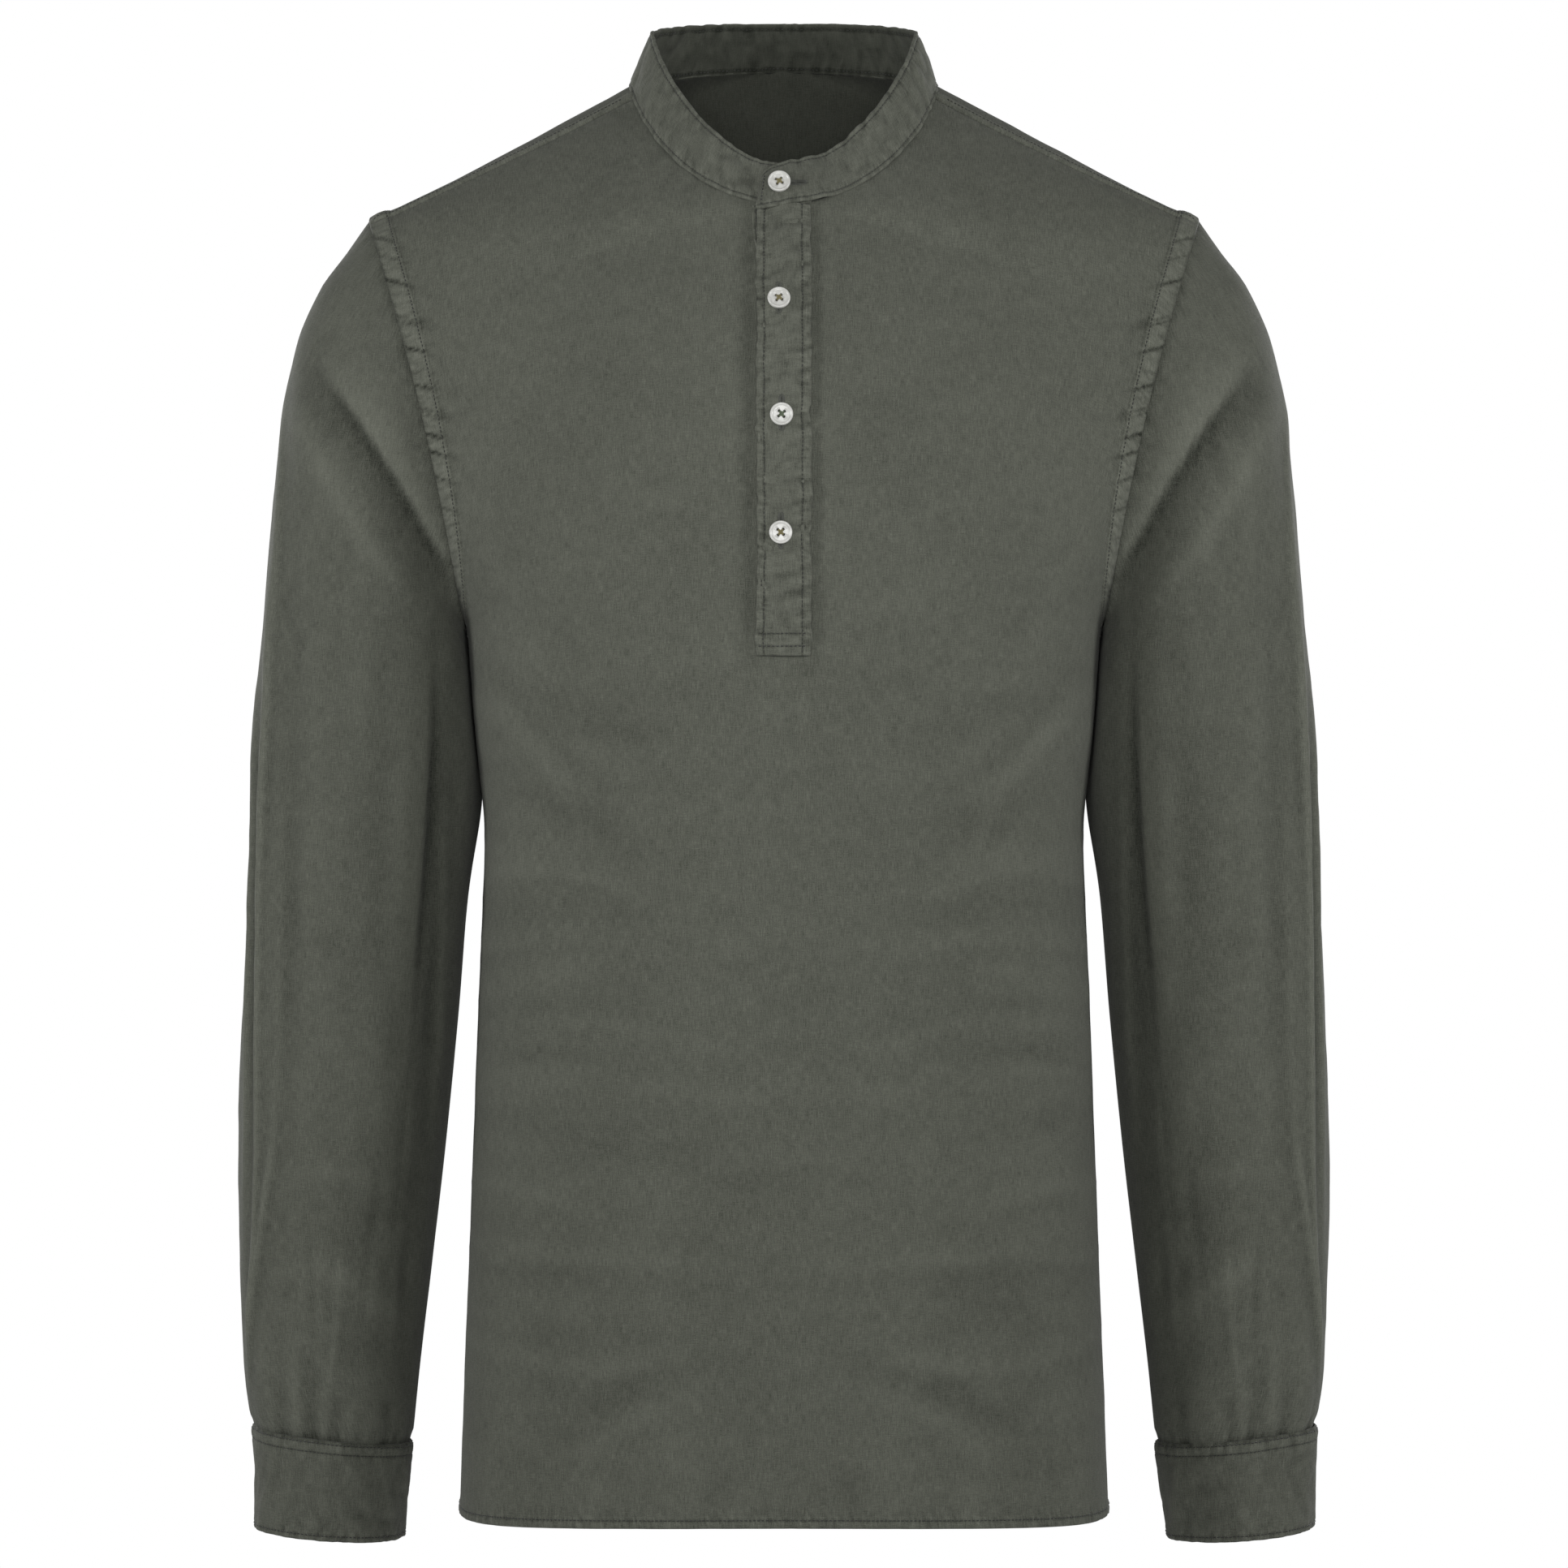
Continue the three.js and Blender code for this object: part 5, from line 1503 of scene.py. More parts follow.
@dataclass
class Cuff:
    """A plain closed cuff band."""

    side: int
    seed: int
    spots: Array = field(init=False)  # its rows' distances below its top edge
    wall: float = 1.5
    girth: float = 259
    columns: int = 170
    top_stitches: tuple[float, float] = (1.3, 6.0)
    bottom_stitch: float = 2.4

    def build(self) -> Cloth:
        """Makes the cuff.

        Returns:
            The cloth, rows from its top edge down.
        """
        last = len(CUFF_RINGS.rows) - 1
        angle = np.arange(self.columns) * 360.0 / self.columns
        dense = np.linspace(0, last, 300)
        run = run_length(ring_point(CUFF_RINGS, dense, 90.0)[None], 1)[0]
        depth = run[-1]
        self.spots = fine_steps((0, 8, 0.95), (8, depth - 7, 1.7), (depth - 7, depth, 1.0))
        down = self.spots[:, None]
        place = ring_point(CUFF_RINGS, np.interp(down, run, dense), angle[None])
        closed = np.concatenate([place, place[:, :1]], axis=1)
        around = run_length(closed[len(closed) // 2][None], 1, (0, 1)) + 0 * down
        cloth = Cloth(place, np.stack([around, -down + 0 * around], axis=-1), self.wall, round=True)
        around = around[:, :-1]
        wave = Ripple(self.seed)
        turn = np.radians(angle)[None]
        soft = 0.9 * wave.at(5 + 2.2 * np.cos(turn), 5 + 2.2 * np.sin(turn) + down / 40)
        soft += 0.45 * wave.at(9 + 6 * np.cos(turn), 9 + 6 * np.sin(turn) + down / 14)
        from_join = np.minimum(around, self.girth - around)
        soft += 0.5 * crumple(wave, around / 17, down / 15) * smoothstep(from_join, 0, 9)
        from_end = depth - down
        top = creases(around + 0.2 * down, 7.5, 280, self.seed + 1, 1.5) * bell(down, 9)
        bottom = creases(around + 0.7 * down, 8, 330, self.seed + 2, 1.5) * bell(from_end, 7)
        grooves = sum(groove(down - row) for row in self.stitch_rows())
        rolled = bell(down, 1.1) + 0.5 * bell(from_end, 0.9)
        cloth.push(soft - 0.8 * top - 0.7 * bottom - 0.45 * grooves - rolled)
        cloth.shade_relief()
        # painted shade in the stitch grooves
        cloth.worn -= 0.7 * grooves
        cloth.drawn = np.maximum(bell(down, 9), bell(from_end, 7)) + 0 * around
        return cloth.mirror() if self.side < 0 else cloth

    def stitch_rows(self) -> tuple[float, ...]:
        """How far below the top edge its stitches run."""
        return (*self.top_stitches, self.spots[-1] - self.bottom_stitch)


# ---------------------------------------------------------------- collar
@dataclass
class Collar:
    """A band whose ends lap at the centre front, the wearer's left end on top."""

    spots: Array = field(init=False)  # its rows' heights
    heights: tuple[float, float, float] = (27, 29.5, 24.5)  # front, side, back
    leans: tuple[float, float, float] = (36, 20, 14)  # degrees from upright, towards the neck
    end_angle: float = 9.5
    lift: float = 2.6
    lift_from: float = 21
    lift_to: float = 10.5
    lift_hang: float = 0.75
    fall_from: float = 4
    fall: float = 0.27
    fall_forward: float = 0.6
    corner_radius: float = 9
    bulge: float = 0.7
    seam_overlap: float = 0.6  # how far its base comes down over the body
    seam_rise: float = 0.9
    wall: float = 1.8
    top_stitch: float = 2.1
    base_stitch: float = 2.0
    button_in: float = 10.5  # from its upper end to the button's centre
    seed: int = 31

    def point(self, angle: Array, side: Array, up: Array) -> Array:
        """Places on the outer face.

        Args:
            angle: Round the neck from centre front, below 0 past it.
            side: +1 on the wearer's left.
            up: Share of the height.

        Returns:
            The points.
        """
        angle, side, up = np.broadcast_arrays(*(np.asarray(v, float) for v in (angle, side, up)))
        turn = np.cos(np.radians(angle))
        forward = turn > 0
        height = mix(self.heights[1], np.where(forward, self.heights[0], self.heights[2]), turn**2)
        lean = np.radians(mix(self.leans[1], np.where(forward, self.leans[0], self.leans[2]), turn**2))
        base = NECK.at(angle)
        inwards = unit(
            points(
                -base[..., 0] / NECK.half_width**2,
                (NECK.centre_y - base[..., 1]) / NECK.reach(turn) ** 2,
                0,
            )
        )
        rise = points(0, 0, np.ones_like(lean))
        upwards = inwards * np.sin(lean)[..., None] + rise * np.cos(lean)[..., None]
        outwards = rise * np.sin(lean)[..., None] - inwards * np.cos(lean)[..., None]
        on_top = side > 0
        lift = np.where(on_top, self.lift * (1 - smoothstep(angle, self.lift_to, self.lift_from)), 0)
        fall = np.where(on_top & forward, self.fall * np.maximum(0, self.fall_from - base[..., 0]), 0)
        to_end = (angle + self.end_angle) * math.radians(1) * NECK.half_width
        cut = np.clip(self.corner_radius - to_end, 0, self.corner_radius)
        corner = self.corner_radius - np.sqrt(self.corner_radius**2 - cut**2)
        hang = (1 - up) * (np.maximum(0, lift - self.lift_hang * self.lift) + self.seam_overlap)
        along = up * (height - corner) - hang
        out = lift + self.bulge * np.sin(np.pi * up) + self.seam_rise * (1 - up)
        place = base + upwards * along[..., None] + outwards * out[..., None]
        place[..., 2] -= fall
        place[..., 1] -= fall * self.fall_forward
        place[..., 0] *= side
        return place

    def build(self) -> Cloth:
        """Makes the collar.

        Returns:
            The cloth, rows from its base up, columns from its upper end round to the lower one.
        """
        half = fine_steps((-self.end_angle, -self.end_angle + 3, 0.45), (-self.end_angle + 3, 180, 1.05))
        angle = np.concatenate([half, half[-2::-1]])
        side = np.concatenate([np.ones(len(half)), np.full(len(half) - 1, -1.0)])
        height = self.heights[1]
        self.spots = fine_steps((0, 4, 0.7), (4, height - 4, 1.5), (height - 4, height, 0.7))
        up = self.spots[:, None]
        place = self.point(angle[None], side[None], up / height)
        around = run_length(place[len(place) // 2][None], 1) + 0 * up
        cloth = Cloth(place, np.stack([around, up + 0 * around], axis=-1), self.wall, inner_painted_shade=1.35)
        below_top = height - up
        wave = Ripple(self.seed)
        soft = 0.85 * crumple(wave, around / 12, up / 16) + 0.25 * wave.at(around / 6.5 + 3, up / 13 + 2)
        soft *= 1 - 0.9 * bell(around - self.button_in, 11)
        base = creases(around + 0.3 * up, 8, 600, self.seed + 1, 1.5) * bell(up, 8)
        top = creases(around - 0.3 * up + 20, 10, 620, self.seed + 12, 1.5) * bell(below_top, 7)
        cross = puckers(around + 0.5 * up, 19, 520, self.seed + 3) * np.sin(np.pi * up / height)
        grooves = sum(groove(up - row) for row in self.stitch_rows())
        cloth.push(soft - 0.8 * base - 0.65 * top + 0.45 * cross - 0.48 * grooves)
        cloth.shade_relief(wide=0.5)
        # a little lighter all over, with painted shade in the stitch grooves
        cloth.worn += 0.25 - 0.7 * grooves
        cloth.drawn = 0.1 + np.maximum(bell(up, 8), 0.8 * bell(below_top, 7)) + 0 * around
        return cloth

    def stitch_rows(self) -> tuple[float, float]:
        """The heights at which its stitches run."""
        return (self.base_stitch, self.heights[1] - self.top_stitch)


# ---------------------------------------------------------------- front opening
def centre_point(level: Array, x: Array) -> Array:
    """Places on the front's form near its centre line.

    Args:
        level: Heights of the rows on the centre line.
        x: Places across, signed.

    Returns:
        The points.
    """
    level, x = np.broadcast_arrays(np.asarray(level, float), np.asarray(x, float))
    row = FRONT_HALF.row_at_level(level)
    low, high = np.zeros_like(x), np.full_like(x, 0.3)
    for _ in range(22):
        middle = (low + high) / 2
        short = FRONT_HALF.point(row, middle)[..., 0] < np.abs(x)
        low, high = np.where(short, middle, low), np.where(short, high, middle)
    place = FRONT_HALF.point(row, low)
    place[..., 0] *= np.where(x < 0, -1, 1)
    return place


@dataclass
class Placket:
    """One strip of the front opening, lying on the front."""

    left: float
    right: float
    bottom: float
    rise: float  # its outer face above the front's
    wall: float
    seed: int
    edge_wave: float = 1.0
    stitch_in: tuple[float, float] = (3.2, 4.0)  # from its wearer's-right and its left edge
    end_stitches: tuple[float, ...] = ()
    slant_left: float = 0.0  # how far its edge moves in below its top
    grain_shift: float = 400.0  # so that its threads aren't those of the front
    spots: Array = field(init=False)  # its columns' distances from the wearer's-right edge
    up: Array = field(init=False)  # its rows' heights above its bottom edge

    def build(self, top_of: "TopEdge") -> Cloth:
        """Makes the strip.

        Args:
            top_of: Gives its top edge's height at places across.

        Returns:
            The cloth, rows from its bottom up.
        """
        width = self.right - self.left
        first, second = self.stitch_in
        self.spots = fine_steps((0, first, 0.8), (first, width - second, 0.95), (width - second, width, 0.8))
        length = float(top_of(np.array([0.0]))[0] - self.bottom)
        self.up = fine_steps((0, 8, 0.8), (8, length, 1.25))
        from_right, z_run = np.meshgrid(self.spots, self.up)
        from_left = width - from_right
        across = from_right + self.left
        share = z_run / length
        edge = np.clip((from_right - width / 2) / (width / 2), -1, 1)
        x = across + self.slant_left * smoothstep(length - z_run, 8, 36) * np.maximum(-edge, 0)
        for sign, pitch, seed in ((-1, 17, self.seed), (1, 21, self.seed + 9)):
            x = x + self.edge_wave * puckers(z_run, pitch, length, seed) * np.maximum(sign * edge, 0) ** 2
        place = centre_point(mix(self.bottom, top_of(across), share), x)
        grain = np.stack([across + self.grain_shift, z_run], axis=-1)
        cloth = Cloth(place, grain, self.wall)
        wave = Ripple(self.seed + 2)
        edges = (
            (from_right, creases(z_run + 0.4 * from_right, 9, length + 20, self.seed + 3, 1.5)),
            (from_left, creases(z_run + 0.4 * from_left + 5, 8, length + 30, self.seed + 4, 1.4)),
        )
        drawn = sum(lines * bell(distance, 6.5) for distance, lines in edges)
        across_all = creases(z_run - 0.15 * from_right, 24, length, self.seed + 5, 2.4)
        soft = 1.1 * crumple(wave, from_right / 17, z_run / 11) + 0.35 * wave.at(from_right / 6, z_run / 6)
        grooves = groove(from_right - first) + groove(from_left - second)
        for end in self.end_stitches:
            grooves = np.maximum(grooves, groove(z_run - end))
        cloth.push(self.rise + soft - 1.0 * drawn - 0.6 * across_all - 0.5 * grooves)
        cloth.shade_relief()
        # a little lighter all over, with painted shade in the stitch grooves
        cloth.worn += 0.3 - 0.6 * grooves
        cloth.drawn = -0.2 - bell(np.minimum(from_right, from_left), 6)
        return cloth

    def stitch_columns(self) -> tuple[float, float]:
        """How far from its wearer's-right edge its long stitches run."""
        return (self.stitch_in[0], self.spots[-1] - self.stitch_in[1])


PLACKET_UNDER = Placket(
    left=-15.6,
    right=9.8,
    bottom=-290,
    rise=0.9,
    wall=0.8,
    seed=71,
    edge_wave=0.2,
    stitch_in=(1.6, 2.0),
    slant_left=3.2,
)
PLACKET_OVER = Placket(left=-13, right=13, bottom=-298, rise=2.3, wall=1.3, seed=81, end_stitches=(4.4, 10.6))


class TopEdge:
    """The height at which a placket strip ends, under the collar."""

    def __init__(self, collar: Collar | None, margin: float) -> None:
        """Keeps the collar that the strip reaches, or None for the neck seam itself."""
        self.collar = collar
        self.margin = margin

    def __call__(self, x: Array) -> Array:
        """Heights at places across."""
        angle = np.degrees(np.arcsin(np.abs(x) / NECK.half_width))
        if self.collar is None:
            return NECK.at(angle)[..., 2] - self.margin
        return self.collar.point(np.sign(x) * angle, np.ones_like(x), np.zeros_like(x))[..., 2] - self.margin


# ---------------------------------------------------------------- tubes, buttons and buttonholes
def add_tube(edit: bmesh.types.BMesh, path: Array, radius: float, sides: int = 9) -> None:
    """Adds a closed round thread along a path.

    Args:
        edit: The mesh that it joins.
        path: Points in millimetres.
        radius: The thread's radius.
        sides: How many sides it has.
    """
    along = unit(np.gradient(path, axis=0))
    beside = unit(np.cross(along, np.array([0.3, 0.1, 0.95])))
    above = np.cross(along, beside)
    turn = np.arange(sides) * 2 * np.pi / sides
    taper = np.ones(len(path))
    taper[[0, -1]] = 0.35
    ring = beside[:, None] * np.cos(turn)[None, :, None] + above[:, None] * np.sin(turn)[None, :, None]
    place = path[:, None] + ring * radius * taper[:, None, None]
    rings = [[edit.verts.new(Vector(p) * MM) for p in row] for row in place]
    for row, other in zip(rings, rings[1:]):
        for i in range(sides):
            j = (i + 1) % sides
            edit.faces.new((row[i], row[j], other[j], other[i]))
    edit.faces.new(rings[0][::-1])
    edit.faces.new(rings[-1])


@dataclass(frozen=True)
class ButtonForm:
    """A four-hole shirt button with a raised rim."""

    radius: float = 5.75
    thickness: float = 2.4
    rim_width: float = 1.15
    dish: float = 0.55
    hole_pitch: float = 2.6
    hole_radius: float = 0.72
    thread_radius: float = 0.25
    shank_radius: float = 1.25
    segments: int = 72

    def profile(self) -> list[tuple[float, float]]:
        """Radius and height from the back's centre over the edge to the face's centre.

        Returns:
            The pairs, in millimetres.
        """
        r, t, w, d = self.radius, self.thickness, self.rim_width, self.dish
        low_edge = [(r - 1.3, 0.0), (r - 0.5, 0.12), (r - 0.14, 0.5), (r, 1.0)]
        high_edge = [(r, t * 0.62), (r - 0.08, t * 0.82)]
        rim = [(r - 0.28, t * 0.95), (r - w * 0.5, t), (r - w * 0.75, t - d * 0.12)]
        dish = [(r - w * 1.0, t - d * 0.55), (r - w * 1.25, t - d * 0.9), (r - w * 1.6, t - d)]
        face = [(r * 0.35, t - d * 1.08), (0.0, t - d * 1.1)]
        return [(0.0, 0.0), (r * 0.45, 0.0), *low_edge, *high_edge, *rim, *dish, *face]

    def mesh(self, finish: Finish) -> Mesh:
        """The button with its back at the origin and its face towards +Z, in metres.

        Args:
            finish: Its material.

        Returns:
            The mesh.
        """
        edit = bmesh.new()
        rings = []
        for radius, height in self.profile():
            if radius == 0:
                rings.append([edit.verts.new((0, 0, height * MM))])
                continue
            turn = np.arange(self.segments) * 2 * np.pi / self.segments
            ring = [(radius * math.cos(a) * MM, radius * math.sin(a) * MM, height * MM) for a in turn]
            rings.append([edit.verts.new(p) for p in ring])
        for low, high in zip(rings, rings[1:]):
            for i in range(self.segments):
                j = (i + 1) % self.segments
                corners = [low[i % len(low)], low[j % len(low)], high[j % len(high)], high[i % len(high)]]
                edit.faces.new(list(dict.fromkeys(corners)))
        closed_smoothly(edit)
        return self._drilled(linked("button_blank", written(edit, "button_blank"), finish))

    def corners(self) -> list[tuple[float, float]]:
        """The holes' places on the face."""
        half = self.hole_pitch / 2
        return [(-half, -half), (half, -half), (half, half), (-half, half)]

    def _drilled(self, blank: Object) -> Mesh:
        """Cuts the four holes.

        Args:
            blank: The button without them, which is removed.

        Returns:
            The drilled mesh.
        """
        edit = bmesh.new()
        for x, y in self.corners():
            where = Matrix.Translation((x * MM, y * MM, self.thickness / 2 * MM))
            bmesh.ops.create_cone(
                edit,
                cap_ends=True,
                segments=20,
                radius1=self.hole_radius * MM,
                radius2=self.hole_radius * MM,
                depth=self.thickness * 3 * MM,
                matrix=where,
            )
        drill = linked("button_drill", written(edit, "button_drill"))
        cut = blank.modifiers.new("holes", "BOOLEAN")
        cut.operation = "DIFFERENCE"
        cut.solver = "EXACT"
        cut.object = drill
        return evaluated_mesh(blank, drill)

    def cross_threads(self, strands: int = 3) -> list[Array]:
        """Paths of the threads that cross the face from hole to hole, in the button's own frame.

        Args:
            strands: How many lie side by side.

        Returns:
            The paths, in millimetres.
        """
        face = self.thickness - self.dish
        paths = []
        corners = self.corners()
        for (ax, ay), (bx, by), pile in ((corners[0], corners[2], 0.0), (corners[1], corners[3], 0.26)):
            along = np.array([bx - ax, by - ay]) / math.hypot(bx - ax, by - ay)
            beside = np.array([-along[1], along[0]])
            for strand in range(strands):
                shift = (strand - (strands - 1) / 2) * self.thread_radius * 1.9
                t = np.linspace(0, 1, 13)
                reach = np.array([ax, ay])[None] + t[:, None] * np.array([bx - ax, by - ay])[None]
                bundle = reach + beside[None] * shift * (0.55 + 0.45 * np.sin(np.pi * t))[:, None]
                dip = np.clip(np.minimum(t, 1 - t) / 0.1, 0, 1)
                height = face - 0.9 * (1 - dip) + self.thread_radius + pile * np.sin(np.pi * t) ** 2
                height = height + 0.12 * np.sin(np.pi * t) * (1 - abs(strand - 1) * 0.5)
                paths.append(np.column_stack([bundle, height]))
        return paths


@dataclass
class Buttonhole:
    """A worked buttonhole: a slit between two rows of close stitches, its dark a painted shadow."""

    length: float
    half_width: float = 0.95
    slit: float = 0.32
    lift: float = 0.12

    def outline(self, centre: Array, along: Array, outward: Array, surface: "Nearest") -> SeamLine:
        """The closed line that the stitches follow, on the cloth.

        Args:
            centre: Its middle.
            along: Its direction.
            outward: The cloth's outward direction there.
            surface: Lays points on the cloth.

        Returns:
            The line.
        """
        across = unit(np.cross(outward, along))
        turn = np.linspace(0, 2 * np.pi, 90, endpoint=False)
        reach = np.sign(np.cos(turn)) * np.abs(np.cos(turn)) ** 0.35 * self.length / 2
        wide = np.sign(np.sin(turn)) * np.abs(np.sin(turn)) ** 0.6 * self.half_width
        spots = centre[None] + reach[:, None] * along[None] + wide[:, None] * across[None]
        place, facing = surface.at(spots)
        return SeamLine(place + facing * self.lift, facing, closed=True)

    def slit_object(
        self,
        name: str,
        centre: Array,
        along: Array,
        outward: Array,
        surface: "Nearest",
        finish: Finish,
    ) -> Object:
        """The slit as a thin lens on the cloth, dark as a painted shadow.

        Args:
            name: The piece's name.
            centre: Its middle.
            along: Its direction.
            outward: The cloth's outward direction there.
            surface: Lays points on the cloth.
            finish: Its material.

        Returns:
            The new object.
        """
        across = unit(np.cross(outward, along))
        t = np.linspace(-1, 1, 15)
        wide = self.slit * np.sqrt(np.maximum(1 - t**2, 0.02))
        rows = []
        for share in (-1.0, 0.0, 1.0):
            spots = centre[None] + (t * (self.length / 2 - 0.7))[:, None] * along[None]
            spots = spots + (share * wide)[:, None] * across[None]
            place, facing = surface.at(spots)
            rows.append(place + facing * (0.1 + 0.12 * (1 - abs(share))))
        cloth = Cloth(np.array(rows), np.zeros((3, 15, 2)), 0.15)
        if np.dot(cloth.outward()[1, 7], outward) < 0:
            cloth = Cloth(np.array(rows[::-1]), np.zeros((3, 15, 2)), 0.15)
        return cloth.to_object(name, finish)


class Nearest:
    """Finds the cloth's outer face nearest to a place."""

    def __init__(self, cloth: Cloth) -> None:
        """Keeps the face's points and directions."""
        self.place = cloth.outer().reshape(-1, 3)
        self.outward = cloth.outward().reshape(-1, 3)

    def at(self, spots: Array) -> tuple[Array, Array]:
        """Lays places on the face.

        Args:
            spots: Places near it.

        Returns:
            The places moved along the face's direction onto it, and the directions.
        """
        gaps = np.linalg.norm(spots[:, None] - self.place[None], axis=-1)
        nearest = np.argsort(gaps, axis=1)[:, :4]
        weight = 1 / (np.take_along_axis(gaps, nearest, axis=1) + 0.05)
        weight = (weight / weight.sum(axis=1, keepdims=True))[..., None]
        outward = unit((self.outward[nearest] * weight).sum(axis=1))
        base = (self.place[nearest] * weight).sum(axis=1)
        height = np.sum((base - spots) * outward, axis=1, keepdims=True)
        return spots + outward * height, outward

    def facing(self, centre: Array, radius: float = 9.0) -> Array:
        """The face's mean direction within a radius of a place."""
        near = np.linalg.norm(self.place - centre[None], axis=1) < radius
        return unit(self.outward[near].mean(axis=0))

    def seat(self, centre: Array, outward: Array, turn: float, radius: float) -> Matrix:
        """Where a button lies on the highest cloth under it.

        Args:
            centre: Near its middle, in millimetres.
            outward: The direction that it faces.
            turn: How far it is turned, in degrees.
            radius: Its radius in millimetres.

        Returns:
            Its place and turn, in metres.
        """
        offset = self.place - centre
        height = offset @ outward
        beside = np.linalg.norm(offset - height[:, None] * outward, axis=1)
        top = height[(beside < radius - 0.8) & (np.abs(height) < 6)].max()
        back = Vector((centre + outward * (top - 0.15)) * MM)
        side = Vector((0, 0, 1)).cross(Vector(outward)).normalized()
        up = Vector(outward).cross(side)
        frame = Matrix((side, up, outward)).transposed().to_4x4()
        return Matrix.Translation(back) @ frame @ Matrix.Rotation(math.radians(turn), 4, "Z")


# ---------------------------------------------------------------- node trees
class Shade:
    """What one output of a node gives, with Python's arithmetic for numbers."""

    def __init__(self, graph: "Graph", socket: bpy.types.NodeSocket) -> None:
        """Keeps the socket and the graph that it belongs to."""
        self.graph = graph
        self.socket = socket

    def _maths(self, operation: str, first: "Shade | float", second: "Shade | float" = 0.0) -> "Shade":
        """Adds a Math node."""
        return self.graph.shade("ShaderNodeMath", {"operation": operation}, [first, second])

    def __add__(self, other: "Shade | float") -> "Shade":
        """self + other."""
        return self._maths("ADD", self, other)

    __radd__ = __add__

    def __sub__(self, other: "Shade | float") -> "Shade":
        """self - other."""
        return self._maths("SUBTRACT", self, other)

    def __rsub__(self, other: "Shade | float") -> "Shade":
        """other - self."""
        return self._maths("SUBTRACT", other, self)

    def __mul__(self, other: "Shade | float") -> "Shade":
        """self times other."""
        return self._maths("MULTIPLY", self, other)

    __rmul__ = __mul__

    def __truediv__(self, other: float) -> "Shade":
        """self over a number."""
        return self * (1 / other)

    def sine(self) -> "Shade":
        """The sine of self, in radians."""
        return self._maths("SINE", self)

    def clamped(self, low: float = 0.0, high: float = 1.0) -> "Shade":
        """self held between two numbers."""
        return self._maths("MINIMUM", self._maths("MAXIMUM", self, low), high)


class Graph:
    """A node tree that is built in Python."""

    def __init__(self, tree: bpy.types.NodeTree) -> None:
        """Keeps the tree and empties it."""
        self.tree = tree
        self.tree.nodes.clear()

    def node(self, kind: str, settings: Settings = None, values: Values = None) -> bpy.types.Node:
        """Adds any node.

        Args:
            kind: Its type.
            settings: Its own settings, made first.
            values: Values or Shades for its inputs, in a list or by name.

        Returns:
            The node.
        """
        made = self.tree.nodes.new(kind)
        for key, value in (settings or {}).items():
            setattr(made, key, value)
        for key, value in values.items() if isinstance(values, dict) else enumerate(values or []):
            named = [socket for socket in made.inputs if socket.name == key and socket.enabled]
            socket = named[0] if named else made.inputs[key]
            if isinstance(value, Shade):
                self.tree.links.new(value.socket, socket)
            else:
                socket.default_value = value
        return made

    def shade(
        self, kind: str, settings: Settings = None, values: Values = None, output: str | None = None
    ) -> Shade:
        """Adds any node and gives one of its outputs.

        Args:
            kind: Its type.
            settings: Its own settings, made first.
            values: Values or Shades for its inputs, in a list or by name.
            output: The output's name, or None for the first that its settings leave.

        Returns:
            The output.
        """
        outputs = self.node(kind, settings, values).outputs
        return Shade(self, outputs[output] if output else next(each for each in outputs if each.enabled))

    def split(self, vector: Shade) -> list[Shade]:
        """The three numbers of a vector."""
        return [Shade(self, each) for each in self.node("ShaderNodeSeparateXYZ", None, [vector]).outputs]


